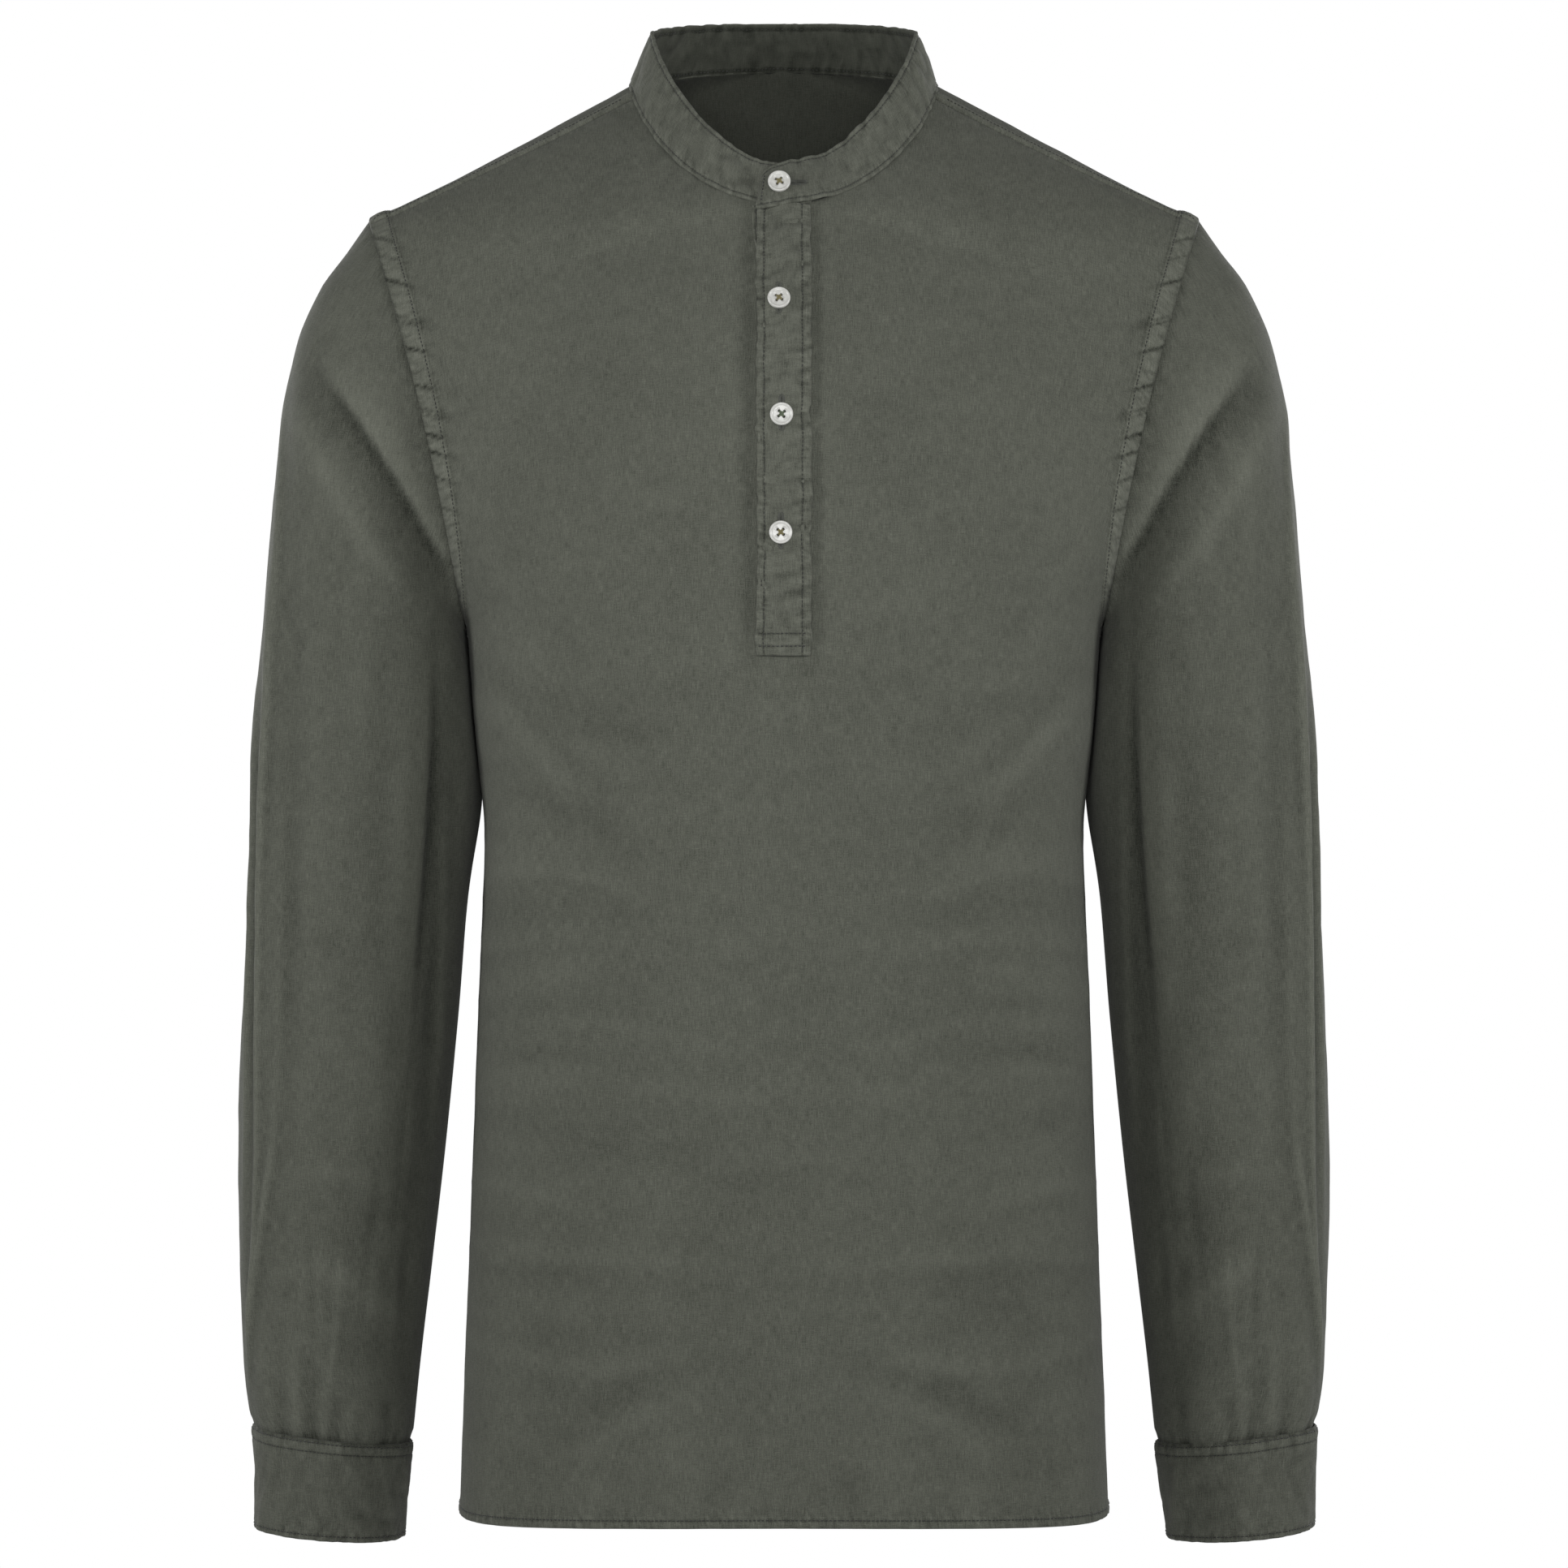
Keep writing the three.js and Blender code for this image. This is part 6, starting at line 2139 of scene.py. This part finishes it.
# ---------------------------------------------------------------- stitches
class StitchGraph(Graph):
    """Geometry Nodes that lay a stitch on every pitch along each line, standing on the cloth."""

    def __init__(self) -> None:
        """Builds the tree."""
        super().__init__(bpy.data.node_groups.new("stitch_rows", "GeometryNodeTree"))
        for way in ("INPUT", "OUTPUT"):
            self.tree.interface.new_socket("Geometry", in_out=way, socket_type="NodeSocketGeometry")
        kinds = dict.fromkeys(("Pitch", "Length", "Radius", "Rise", "Turn"), "Float")
        self.inputs: dict[str, str] = {}  # each one's identifier by its name
        for name, kind in (kinds | {"Seed": "Int", "Finish": "Material"}).items():
            item = self.tree.interface.new_socket(name, in_out="INPUT", socket_type=f"NodeSocket{kind}")
            self.inputs[name] = item.identifier
        given = self.node("NodeGroupInput").outputs
        lines, pitch, length, radius, rise, turn, seed, finish = (Shade(self, given[k]) for k in range(8))
        lines = self.shade("GeometryNodeMeshToCurve", None, {"Mesh": lines})
        spaced = {"Curve": lines, "Length": pitch}
        placed = {
            "Points": self.shade("GeometryNodeResampleCurve", {"mode": "LENGTH"}, spaced),
            "Instance": self._stitch(length, radius, rise),
            "Rotation": self._direction(turn, seed),
        }
        rows = self.shade("GeometryNodeInstanceOnPoints", None, placed)
        rows = self.shade("GeometryNodeRealizeInstances", None, {"Geometry": rows})
        rows = self.shade("GeometryNodeSetShadeSmooth", None, {"Geometry": rows})
        rows = self.shade("GeometryNodeSetMaterial", None, {"Geometry": rows, "Material": finish})
        self.node("NodeGroupOutput", None, [rows])

    def _stitch(self, length: Shade, radius: Shade, rise: Shade) -> Shade:
        """One stitch along X: a low arc whose ends are sunk in the cloth.

        Args:
            length: From end to end.
            radius: The thread's radius.
            rise: How high its middle lies.

        Returns:
            Its geometry.
        """
        sunk = rise * -STITCH_SINK
        ends = {
            "Start": self.shade("ShaderNodeCombineXYZ", None, [length * -0.5, 0.0, sunk]),
            "Middle": self.shade("ShaderNodeCombineXYZ", None, [0.0, 0.0, rise * STITCH_CROWN]),
            "End": self.shade("ShaderNodeCombineXYZ", None, [length * 0.5, 0.0, sunk]),
        }
        arc = self.shade("GeometryNodeCurveQuadraticBezier", None, {"Resolution": 3, **ends})
        ring = self.shade("GeometryNodeCurvePrimitiveCircle", None, {"Resolution": 4, "Radius": radius})
        thread = {"Curve": arc, "Profile Curve": ring, "Fill Caps": True}
        return self.shade("GeometryNodeCurveToMesh", None, thread)

    def _direction(self, turn: Shade, seed: Shade) -> Shade:
        """A stitch's rotation: X along the line, Z out of the cloth, with a small random swing.

        Args:
            turn: How far it is turned from the line.
            seed: Which random swings.

        Returns:
            The rotation.
        """
        vector = {"data_type": "FLOAT_VECTOR"}
        outward = self.shade("GeometryNodeInputNamedAttribute", vector, {"Name": "outward"})
        align = "FunctionNodeAlignRotationToVector"
        along = self.shade(align, {"axis": "X"}, {"Vector": self.shade("GeometryNodeInputTangent")})
        standing = self.shade(align, {"axis": "Z", "pivot_axis": "X"}, {"Rotation": along, "Vector": outward})
        swing = {"Min": -STITCH_SWING, "Max": STITCH_SWING, "Seed": seed}
        angle = self.shade("FunctionNodeRandomValue", {"data_type": "FLOAT"}, swing) + turn
        about = self.shade("FunctionNodeAxisAngleToRotation", None, {"Axis": (0.0, 0.0, 1.0), "Angle": angle})
        turned = {"Rotation": standing, "Rotate By": about}
        return self.shade("FunctionNodeRotateRotation", {"rotation_space": "LOCAL"}, turned)


@dataclass(frozen=True)
class Stitching:
    """Lays stitches along seam lines by Geometry Nodes."""

    graph: ClassVar[StitchGraph | None] = None

    pitch: float = 2.1
    length: float = 1.1
    radius: float = 0.38
    rise: float = 0.1
    turn: float = 0.0  # 90 degrees lays the stitches across the line

    def lay(self, name: str, lines: Sequence[SeamLine], finish: Finish, seed: int) -> Object:
        """Lays the stitches of several lines as one mesh.

        Args:
            name: The piece's name.
            lines: The seam lines.
            finish: The thread's material.
            seed: Which small turns the stitches take.

        Returns:
            The new object.
        """
        Stitching.graph = Stitching.graph or StitchGraph()
        mesh = bpy.data.meshes.new(f"{name}_lines")
        place = np.concatenate([line.place for line in lines])
        outward = np.concatenate([line.outward for line in lines])
        edges, first = [], 0
        for line in lines:
            last = first + len(line.place) - 1
            edges += [(i, i + 1) for i in range(first, last)]
            edges += [(last, first)] if line.closed else []
            first = last + 1
        mesh.from_pydata([tuple(p) for p in place * MM], edges, [])
        attribute = mesh.attributes.new("outward", "FLOAT_VECTOR", "POINT")
        attribute.data.foreach_set("vector", outward.astype(np.float32).ravel())
        holder = linked(f"{name}_lines", mesh)
        rows = holder.modifiers.new("stitches", "NODES")
        rows.node_group = Stitching.graph.tree
        values = {
            "Pitch": self.pitch * MM,
            "Length": self.length * MM,
            "Radius": self.radius * MM,
            "Rise": self.rise * MM,
            "Turn": math.radians(self.turn),
            "Seed": seed,
            "Finish": finish,
        }
        for key, value in values.items():
            rows[Stitching.graph.inputs[key]] = value
        result = evaluated_mesh(holder)
        result.name = name
        return linked(name, result, finish)


# ---------------------------------------------------------------- finishes
class FinishGraph(Graph):
    """The node tree of one finish."""

    def __init__(self, name: str) -> None:
        """Starts a material with an empty tree."""
        self.material = bpy.data.materials.new(name)
        self.material.use_nodes = True
        super().__init__(self.material.node_tree)

    def place(self) -> list[Shade]:
        """The place in the object, in metres."""
        return self.split(self.shade("ShaderNodeTexCoord", output="Object"))

    def noise(self, across: Shade, up: Shade, detail: float = 2.0, roughness: float = 0.5) -> Shade:
        """Smooth noise over two numbers, about 0.5."""
        where = self.shade("ShaderNodeCombineXYZ", None, [across, up, 0.0])
        values = {"Vector": where, "Scale": 1.0, "Detail": detail, "Roughness": roughness}
        return self.shade("ShaderNodeTexNoise", {"noise_dimensions": "2D"}, values, "Fac")

    def blend(self, share: Shade, low: tuple[float, ...], high: tuple[float, ...]) -> Shade:
        """A colour from low to high by a share."""
        values = {"Factor": share, "A": (*low, 1.0), "B": (*high, 1.0)}
        return self.shade("ShaderNodeMix", {"data_type": "RGBA"}, values)

    def bump(self, height: Shade, strength: float, distance: float) -> Shade:
        """A bumped surface direction; the distance is in metres for a height of 1."""
        values = {"Strength": strength, "Distance": distance, "Height": height}
        return self.shade("ShaderNodeBump", None, values)

    def finish(self, values: dict[str, object]) -> Finish:
        """Ends the tree in one surface.

        Args:
            values: The surface's inputs by name.

        Returns:
            The material.
        """
        surface = self.shade("ShaderNodeBsdfPrincipled", None, values)
        self.node("ShaderNodeOutputMaterial", None, {"Surface": surface})
        return self.material


@dataclass(frozen=True)
class LinenFinish:
    """Plain-weave linen, dyed as a finished garment and washed.

    dark and light are the ends of the cloth's own tone. The lengths are those of its threads, of
    the thicker stretches in them and of its clouds, in metres.
    """

    dark: tuple[float, float, float] = (0.018, 0.020, 0.0145)
    light: tuple[float, float, float] = (0.195, 0.203, 0.167)
    thread_pitch: float = 0.00046
    thread_run: float = 0.0045
    slub_width: float = 0.0005
    slub_length: float = 0.008
    speckle: float = 0.0005
    gather: float = 0.0026
    gather_length: float = 0.0075
    cloud: float = 0.0065

    def material(self) -> Finish:
        """Builds the finish.

        Returns:
            The material.
        """
        graph = FinishGraph("linen")
        across, up, _ = graph.split(graph.shade("ShaderNodeUVMap", {"uv_map": "grain"}))
        worn, inside, drawn = (
            graph.shade("ShaderNodeAttribute", {"attribute_name": name}, output="Fac")
            for name in ("worn", "inside", "drawn")
        )
        gather, along = 1 / self.gather, 1 / self.gather_length
        upright = graph.noise((across + up * 0.3) * gather, (up - across * 0.2) * along, 1.0)
        level = graph.noise((across - up * 0.2) * along + 4.2, (up + across * 0.35) * gather, 1.0)
        pucker = (upright - 0.5) * drawn.clamped() + (level - 0.5) * (drawn * -1.0).clamped()
        pitch, run = 1 / self.thread_pitch, 1 / self.thread_run
        warp = graph.noise(across * pitch, up * run * 0.8)
        weft = graph.noise(across * run + 7.3, up * pitch)
        wide, long = 1 / self.slub_width, 1 / self.slub_length
        slub_up = ((graph.noise(across * wide, up * long + 3.1) - 0.62) * 6.0).clamped()
        slub_across = ((graph.noise(across * long + 5.7, up * wide) - 0.64) * 6.0).clamped()
        speckle = graph.noise(across / self.speckle, up / self.speckle, 1.0)
        cloud = graph.noise(across / self.cloud + 11.0, up / (self.cloud * 1.5), 3.0, 0.6)
        wash = graph.noise(across * 16.0, up * 14.0 + 5.0, 2.0)
        thick = (slub_up * 0.5 + slub_across * 0.38) * (0.35 + cloud)
        tone = (warp - 0.5) * 0.45 + (weft - 0.5) * 0.3 + (speckle - 0.5) * 0.44
        tone = tone + thick * 0.27 + (cloud - 0.5) * 0.16 + (wash - 0.5) * 0.1
        # painted shade and highlight: the puckers' light and dark, darker inner faces, darker creases and
        # lighter ridges
        tone = (tone + pucker * 0.42) * (1.0 - inside * 0.5)
        tone = tone + worn.clamped(-3.0, 1.4) * 0.11 - inside * 0.2
        colour = graph.blend((tone + 0.42).clamped(), self.dark, self.light)
        turn = 2 * math.pi / self.thread_pitch
        weave = (across * turn).sine() * (up * turn).sine()
        relief_height = weave * 0.25 + warp * 0.7 + weft * 0.6 + speckle * 0.5 + thick * 0.6 + cloud * 1.6
        relief_height = relief_height + pucker * 5.0
        rough = (0.87 + (cloud - 0.5) * 0.1).clamped()
        values = {
            "Base Color": colour,
            "Roughness": rough,
            "Specular IOR Level": 0.2,
            "Sheen Weight": 0.06,
            "Sheen Roughness": 0.5,
            "Normal": graph.bump(relief_height, 0.5, 0.0002),
        }
        return graph.finish(values)


@dataclass(frozen=True)
class ThreadFinish:
    """Sewing thread: a plain tone with a fine twist."""

    name: str
    dark: tuple[float, float, float]
    light: tuple[float, float, float]

    def material(self) -> Finish:
        """Builds the finish.

        Returns:
            The material.
        """
        graph = FinishGraph(self.name)
        x, y, z = graph.place()
        twist = ((x + y + z) * 9000.0).sine() * 0.5 + 0.5
        uneven = graph.noise(x * 900.0 + y * 300.0, z * 900.0)
        colour = graph.blend((twist * 0.4 + uneven * 0.6).clamped(), self.dark, self.light)
        bump = graph.bump(twist, 0.4, 0.0001)
        return graph.finish({"Base Color": colour, "Roughness": 0.7, "Sheen Weight": 0.2, "Normal": bump})


@dataclass(frozen=True)
class ShellFinish:
    """Pearly white button shell."""

    dark: tuple[float, float, float] = (0.50, 0.50, 0.47)
    light: tuple[float, float, float] = (0.66, 0.66, 0.63)

    def material(self) -> Finish:
        """Builds the finish.

        Returns:
            The material.
        """
        graph = FinishGraph("shell")
        x, _, z = graph.place()
        cloud = graph.noise(x * 260.0, z * 340.0, 3.0)
        layers = ((z * 1500.0 + cloud * 9.0 + x * 500.0).sine() * 0.5 + 0.5) * 0.35 + cloud * 0.65
        colour = graph.blend(layers.clamped(), self.dark, self.light)
        rough = (0.24 + cloud * 0.18).clamped()
        coat = {"Coat Weight": 0.35, "Coat Roughness": 0.12}
        return graph.finish({"Base Color": colour, "Roughness": rough, **coat})


@dataclass(frozen=True)
class ShadowFinish:
    """A painted shadow: the dark inside of a buttonhole's slit."""

    def material(self) -> Finish:
        """Builds the finish.

        Returns:
            The material.
        """
        graph = FinishGraph("buttonhole_slit")
        x, _, z = graph.place()
        fibres = graph.noise(x * 2500.0, z * 2500.0)
        colour = graph.blend(fibres, (0.012, 0.013, 0.010), (0.035, 0.038, 0.030))
        return graph.finish({"Base Color": colour, "Roughness": 0.95})


@dataclass(frozen=True)
class FloorFinish:
    """The studio's plain pale floor."""

    tone: tuple[float, float, float] = (0.86, 0.86, 0.86)

    def material(self) -> Finish:
        """Builds the finish.

        Returns:
            The material.
        """
        glow = {"Emission Color": WHITE, "Emission Strength": 0.2}
        return FinishGraph("studio_floor").finish({"Base Color": (*self.tone, 1.0), "Roughness": 0.8, **glow})


# ---------------------------------------------------------------- studio
@dataclass(frozen=True)
class Lamp:
    """A soft rectangular light that looks at the shirt."""

    name: str
    place: tuple[float, float, float]
    size: tuple[float, float]
    power: float


@dataclass(frozen=True)
class Studio:
    """Camera, lights, backdrop and floor, in metres."""

    camera_distance: float = 3.0
    camera_height: float = -0.362
    lens: float = 133.1
    sensor: float = 36.0
    floor_height: float = -1.42
    floor_radius: float = 4.0
    ambient: float = 0.08
    spread: float = 80.0  # degrees
    lamps: tuple[Lamp, ...] = (
        Lamp("front_light", (0.0, -2.3, 0.05), (1.2, 1.2), 6.0),
        Lamp("left_light", (2.4, -1.15, 0.15), (0.8, 1.1), 7.0),
        Lamp("right_light", (-2.4, -1.15, 0.15), (0.8, 1.1), 7.0),
        Lamp("back_light_left", (1.5, 2.3, 0.1), (1.0, 1.3), 7.0),
        Lamp("back_light_right", (-1.5, 2.3, 0.1), (1.0, 1.3), 7.0),
    )
    target: tuple[float, float, float] = (0.0, 0.0, -0.08)

    def build(self) -> None:
        """Sets up everything round the shirt."""
        self._camera()
        self._world()
        for lamp in self.lamps:
            self._light(lamp)
        self._floor()
        bpy.context.scene.view_settings.view_transform = "Standard"

    def _camera(self) -> None:
        """A level camera straight in front."""
        data = bpy.data.cameras.new("camera")
        data.lens = self.lens
        data.sensor_width = self.sensor
        data.clip_end = 60.0
        camera = linked("camera", data)
        camera.location = (0.0, -self.camera_distance, self.camera_height)
        camera.rotation_euler = (math.pi / 2, 0.0, 0.0)
        bpy.context.scene.camera = camera

    def _world(self) -> None:
        """White all round for the camera, and softer as a light."""
        world = bpy.data.worlds.new("studio")
        world.use_nodes = True
        graph = Graph(world.node_tree)
        seen = graph.shade("ShaderNodeLightPath", output="Is Camera Ray")
        strength = graph.shade("ShaderNodeMix", None, {"Factor": seen, "A": self.ambient, "B": 1.0})
        background = graph.shade("ShaderNodeBackground", None, {"Color": WHITE, "Strength": strength})
        graph.node("ShaderNodeOutputWorld", None, {"Surface": background})
        bpy.context.scene.world = world

    def _light(self, lamp: Lamp) -> None:
        """One soft light.

        Args:
            lamp: Its place, size and power.
        """
        data = bpy.data.lights.new(lamp.name, "AREA")
        data.shape = "RECTANGLE"
        data.size, data.size_y = lamp.size
        data.energy = lamp.power
        data.spread = math.radians(self.spread)
        light = linked(lamp.name, data)
        light.location = lamp.place
        towards = Vector(self.target) - Vector(lamp.place)
        light.rotation_euler = towards.to_track_quat("-Z", "Y").to_euler()

    def _floor(self) -> None:
        """A round pale floor at the wearer's feet."""
        edit = bmesh.new()
        bmesh.ops.create_circle(edit, cap_ends=True, segments=96, radius=self.floor_radius)
        mesh = written(edit, "studio_floor")
        mesh.transform(Matrix.Translation((0.0, 0.0, self.floor_height)))
        linked(mesh.name, mesh, FloorFinish().material())


# ---------------------------------------------------------------- the shirt
class Slot(Enum):
    """The record's material slots."""

    LINEN = "linen"
    SHELL = "shell"


class Thread(Enum):
    """The sewing threads, each with its dark and its light tone."""

    # toned far darker than the cloth, as painted shade of the stitch holes
    LINEN = ((0.009, 0.010, 0.008), (0.024, 0.026, 0.020))
    BUTTONHOLE = ((0.040, 0.043, 0.034), (0.085, 0.090, 0.072))
    KHAKI = ((0.11, 0.095, 0.035), (0.21, 0.18, 0.08))
    GREEN = ((0.05, 0.07, 0.04), (0.11, 0.14, 0.08))


@dataclass(frozen=True)
class Cut:
    """The size that a piece of cloth was cut to, in metres: across, along, and its flat area."""

    width: float
    length: float
    area: float


@dataclass(frozen=True)
class ButtonSite:
    """How a button sits at its CAD node, and its buttonhole: upright in the strip, level in the collar."""

    node: str
    turn: float  # degrees
    thread: Thread = Thread.KHAKI
    on_collar: bool = False
    levelled: float = 0.2  # how far its face turns from the cloth's direction to straight ahead
    hole_length: float = 17.5
    hole_along: tuple[float, float, float] = (0.0, 0.0, 1.0)
    hole_shift: float = 0.9  # along it from the button's centre


BUTTON_SITES = (
    ButtonSite("button_collar", 12.0, Thread.KHAKI, True, 0.45, 19.0, (1.0, 0.0, 0.12), 4.4),
    ButtonSite("button_1", 8.0),
    ButtonSite("button_2", -6.0, Thread.GREEN),
    ButtonSite("button_3", 4.0),
)


class Shirt:
    """Builds every piece of the shirt and ties it to the frame."""

    def __init__(self) -> None:
        """Makes the finishes."""
        self.linen = LinenFinish().material()
        self.threads = {
            kind: ThreadFinish(f"{kind.name.lower()}_thread", *kind.value).material() for kind in Thread
        }
        self.shell = ShellFinish().material()
        # the painted shadow in the buttonholes' slits
        self.slit = ShadowFinish().material()

    def dress(self, piece: Object, slot: Slot, *nodes: str) -> Object:
        """Ties a piece to its body and hides the nodes that it stands for.

        Args:
            piece: The finished piece.
            slot: Its material slot; not used.
            *nodes: The CAD nodes that it replaces.

        Returns:
            The piece.
        """
        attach(piece, BODY)
        if nodes:
            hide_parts(*nodes)
        LOG.info("%s: %d faces", piece.name, len(piece.data.polygons))
        return piece

    def cloth_piece(self, cloth: Cloth, node: str) -> Object:
        """Writes a cloth as the piece that replaces its node.

        Args:
            cloth: The creased cloth.
            node: The CAD node.

        Returns:
            The piece.
        """
        piece = self.dress(cloth.to_object(f"{node}_cloth", self.linen), Slot.LINEN, node)
        return piece

    def stitch(
        self,
        name: str,
        lines: Sequence[SeamLine],
        seed: int,
        stitching: Stitching = Stitching(),
        thread: Thread = Thread.LINEN,
    ) -> None:
        """Sews rows of stitches as one piece.

        Args:
            name: What they are on.
            lines: The seam lines.
            seed: Which small turns the stitches take.
            stitching: Their size and spacing.
            thread: The thread.
        """
        self.dress(stitching.lay(f"{name}_stitching", lines, self.threads[thread], seed), Slot.LINEN)

    def build_body(self) -> None:
        """Front and back, with the stitching of their seams and hems."""
        for panel in (FRONT_PANEL, BACK_PANEL):
            cloth = panel.build()
            self.cloth_piece(cloth, panel.name)
            self.stitch_body(panel, cloth)

    def stitch_body(self, panel: BodyPanel, cloth: Cloth) -> None:
        """Stitches a panel's armhole strips, side seams, shoulder seams and hem.

        Args:
            panel: The panel's sizes.
            cloth: Its cloth.
        """
        columns = cloth.place.shape[1]
        last = columns - 1
        steps = np.array(panel.strip_steps)
        column = len(steps) - 1 - int(np.argmin(np.abs(steps - panel.strip_stitch)))
        first = 3 if panel.half is BACK_HALF else int(np.argmax(panel.rows >= UNDERARM_ROW))
        lines = [cloth.line(slice(first, None), place) for place in (column, last - column)]
        hem_row = number_at(cloth.grain[:, columns // 2, 1], panel.hem_stitch)
        lines += [cloth.line(hem_row, slice(1, last), inside) for inside in (False, True)]
        half = panel.half_columns
        if panel.shoulder_rise > 0:
            for span in (slice(4, half - 3), slice(columns - half + 3, columns - 4)):
                lines.append(cloth.line(len(cloth.place) - 3.0, span))
        self.stitch(panel.name, lines, panel.seed)

    def build_arms(self) -> None:
        """Sleeves and cuffs, with the cuffs' stitching."""
        for side, name in ((1, "left"), (-1, "right")):
            sleeve = Sleeve(side, seed=12 + side).build()
            self.cloth_piece(sleeve, f"sleeve_{name}")
            cuff = Cuff(side, seed=21 + side)
            cloth = cuff.build()
            self.cloth_piece(cloth, f"cuff_{name}")
            lines = [
                cloth.line(number_at(cuff.spots, down), slice(None), inside)
                for down in cuff.stitch_rows()
                for inside in (False, True)
            ]
            self.stitch(f"cuff_{name}", lines, 40 + side)

    def build_collar(self) -> None:
        """The collar and its stitching."""
        self.collar = Collar()
        cloth = self.collar_cloth = self.collar.build()
        self.cloth_piece(cloth, "collar")
        last = cloth.place.shape[1] - 1
        rows = [number_at(self.collar.spots, up) for up in self.collar.stitch_rows()]
        span = slice(5, last - 4)
        outer, inner = ([cloth.line(row, span, inside) for row in rows] for inside in (False, True))
        ends = slice(4, len(cloth.place) - 4)
        self.stitch("collar", [*outer, cloth.line(ends, 3), cloth.line(ends, last - 3)], 51)
        self.stitch("collar_inner", inner, 52, Stitching(radius=0.2, rise=0.05))

    def build_plackets(self) -> None:
        """Both strips of the opening and their stitching."""
        under = PLACKET_UNDER
        cloth = under.build(TopEdge(None, 0.4))
        self.cloth_piece(cloth, "placket_under")
        column = number_at(under.spots, under.stitch_columns()[0])
        self.stitch("placket_under", [cloth.line(slice(2, None), column)], 61)

        over = PLACKET_OVER
        cloth = self.placket_cloth = over.build(TopEdge(self.collar, 0.2))
        self.cloth_piece(cloth, "placket_over")
        columns = [number_at(over.spots, place) for place in over.stitch_columns()]
        across = slice(*(int(number_at(over.spots, place)) for place in (2.0, over.spots[-1] - 2.0)))
        lines = [cloth.line(slice(2, None), column) for column in columns]
        lines += [cloth.line(number_at(over.up, up), across) for up in over.end_stitches]
        self.stitch("placket_over", lines, 62)

    def build_buttons(self) -> None:
        """Buttons with their threads, and the buttonholes behind them."""
        form = ButtonForm()
        blank = form.mesh(self.shell)
        strip, band = Nearest(self.placket_cloth), Nearest(self.collar_cloth)
        holes = []
        for site in BUTTON_SITES:
            cloth = band if site.on_collar else strip
            low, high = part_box(site.node)
            centre = np.array((low + high) / 2) / MM
            outward = cloth.facing(centre)
            level = unit(mix(outward, np.array([0.0, -1.0, 0.0]), site.levelled))
            matrix = cloth.seat(centre, level, site.turn, form.radius)
            mesh = blank.copy()
            mesh.transform(matrix)
            mesh.name = f"{site.node}_shell"
            self.dress(linked(mesh.name, mesh), Slot.SHELL, site.node)
            self._thread(form, matrix, site)
            along = np.array(site.hole_along)
            along = unit(along - outward * np.dot(along, outward))
            hole = Buttonhole(site.hole_length)
            middle = centre + along * site.hole_shift - outward * 2.0
            holes.append(hole.outline(middle, along, outward, cloth))
            # a thin lens of painted shadow in the buttonhole
            slit = hole.slit_object(f"{site.node}_slit", middle, along, outward, cloth, self.slit)
            self.dress(slit, Slot.LINEN)
        bpy.data.meshes.remove(blank)
        satin = Stitching(pitch=0.42, length=1.5, radius=0.19, rise=0.2, turn=90.0)
        self.stitch("buttonhole", holes, 63, satin, Thread.BUTTONHOLE)

    def _thread(self, form: ButtonForm, matrix: Matrix, site: ButtonSite) -> None:
        """The crossed threads of one button.

        Args:
            form: The button's sizes.
            matrix: Its place.
            site: Its node and thread.
        """
        edit = bmesh.new()
        shank = np.array([[0.0, 0.05, 0.5], [0.0, 0.0, -0.5], [0.0, -0.05, -1.8], [0.0, 0.0, -3.0]])
        crossed = [(path, form.thread_radius) for path in form.cross_threads()]
        for path, radius in (*crossed, (shank, form.shank_radius)):
            add_tube(edit, np.array([matrix @ Vector(p * MM) for p in path]) / MM, radius)
        closed_smoothly(edit)
        name = f"{site.node}_thread"
        self.dress(linked(name, written(edit, name), self.threads[site.thread]), Slot.LINEN)


def main() -> None:
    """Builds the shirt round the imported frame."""
    logging.basicConfig(level=logging.INFO, format="%(name)s %(message)s")
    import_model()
    shirt = Shirt()
    shirt.build_body()
    shirt.build_arms()
    shirt.build_collar()
    shirt.build_plackets()
    shirt.build_buttons()
    Studio().build()


if __name__ == "__main__":
    main()
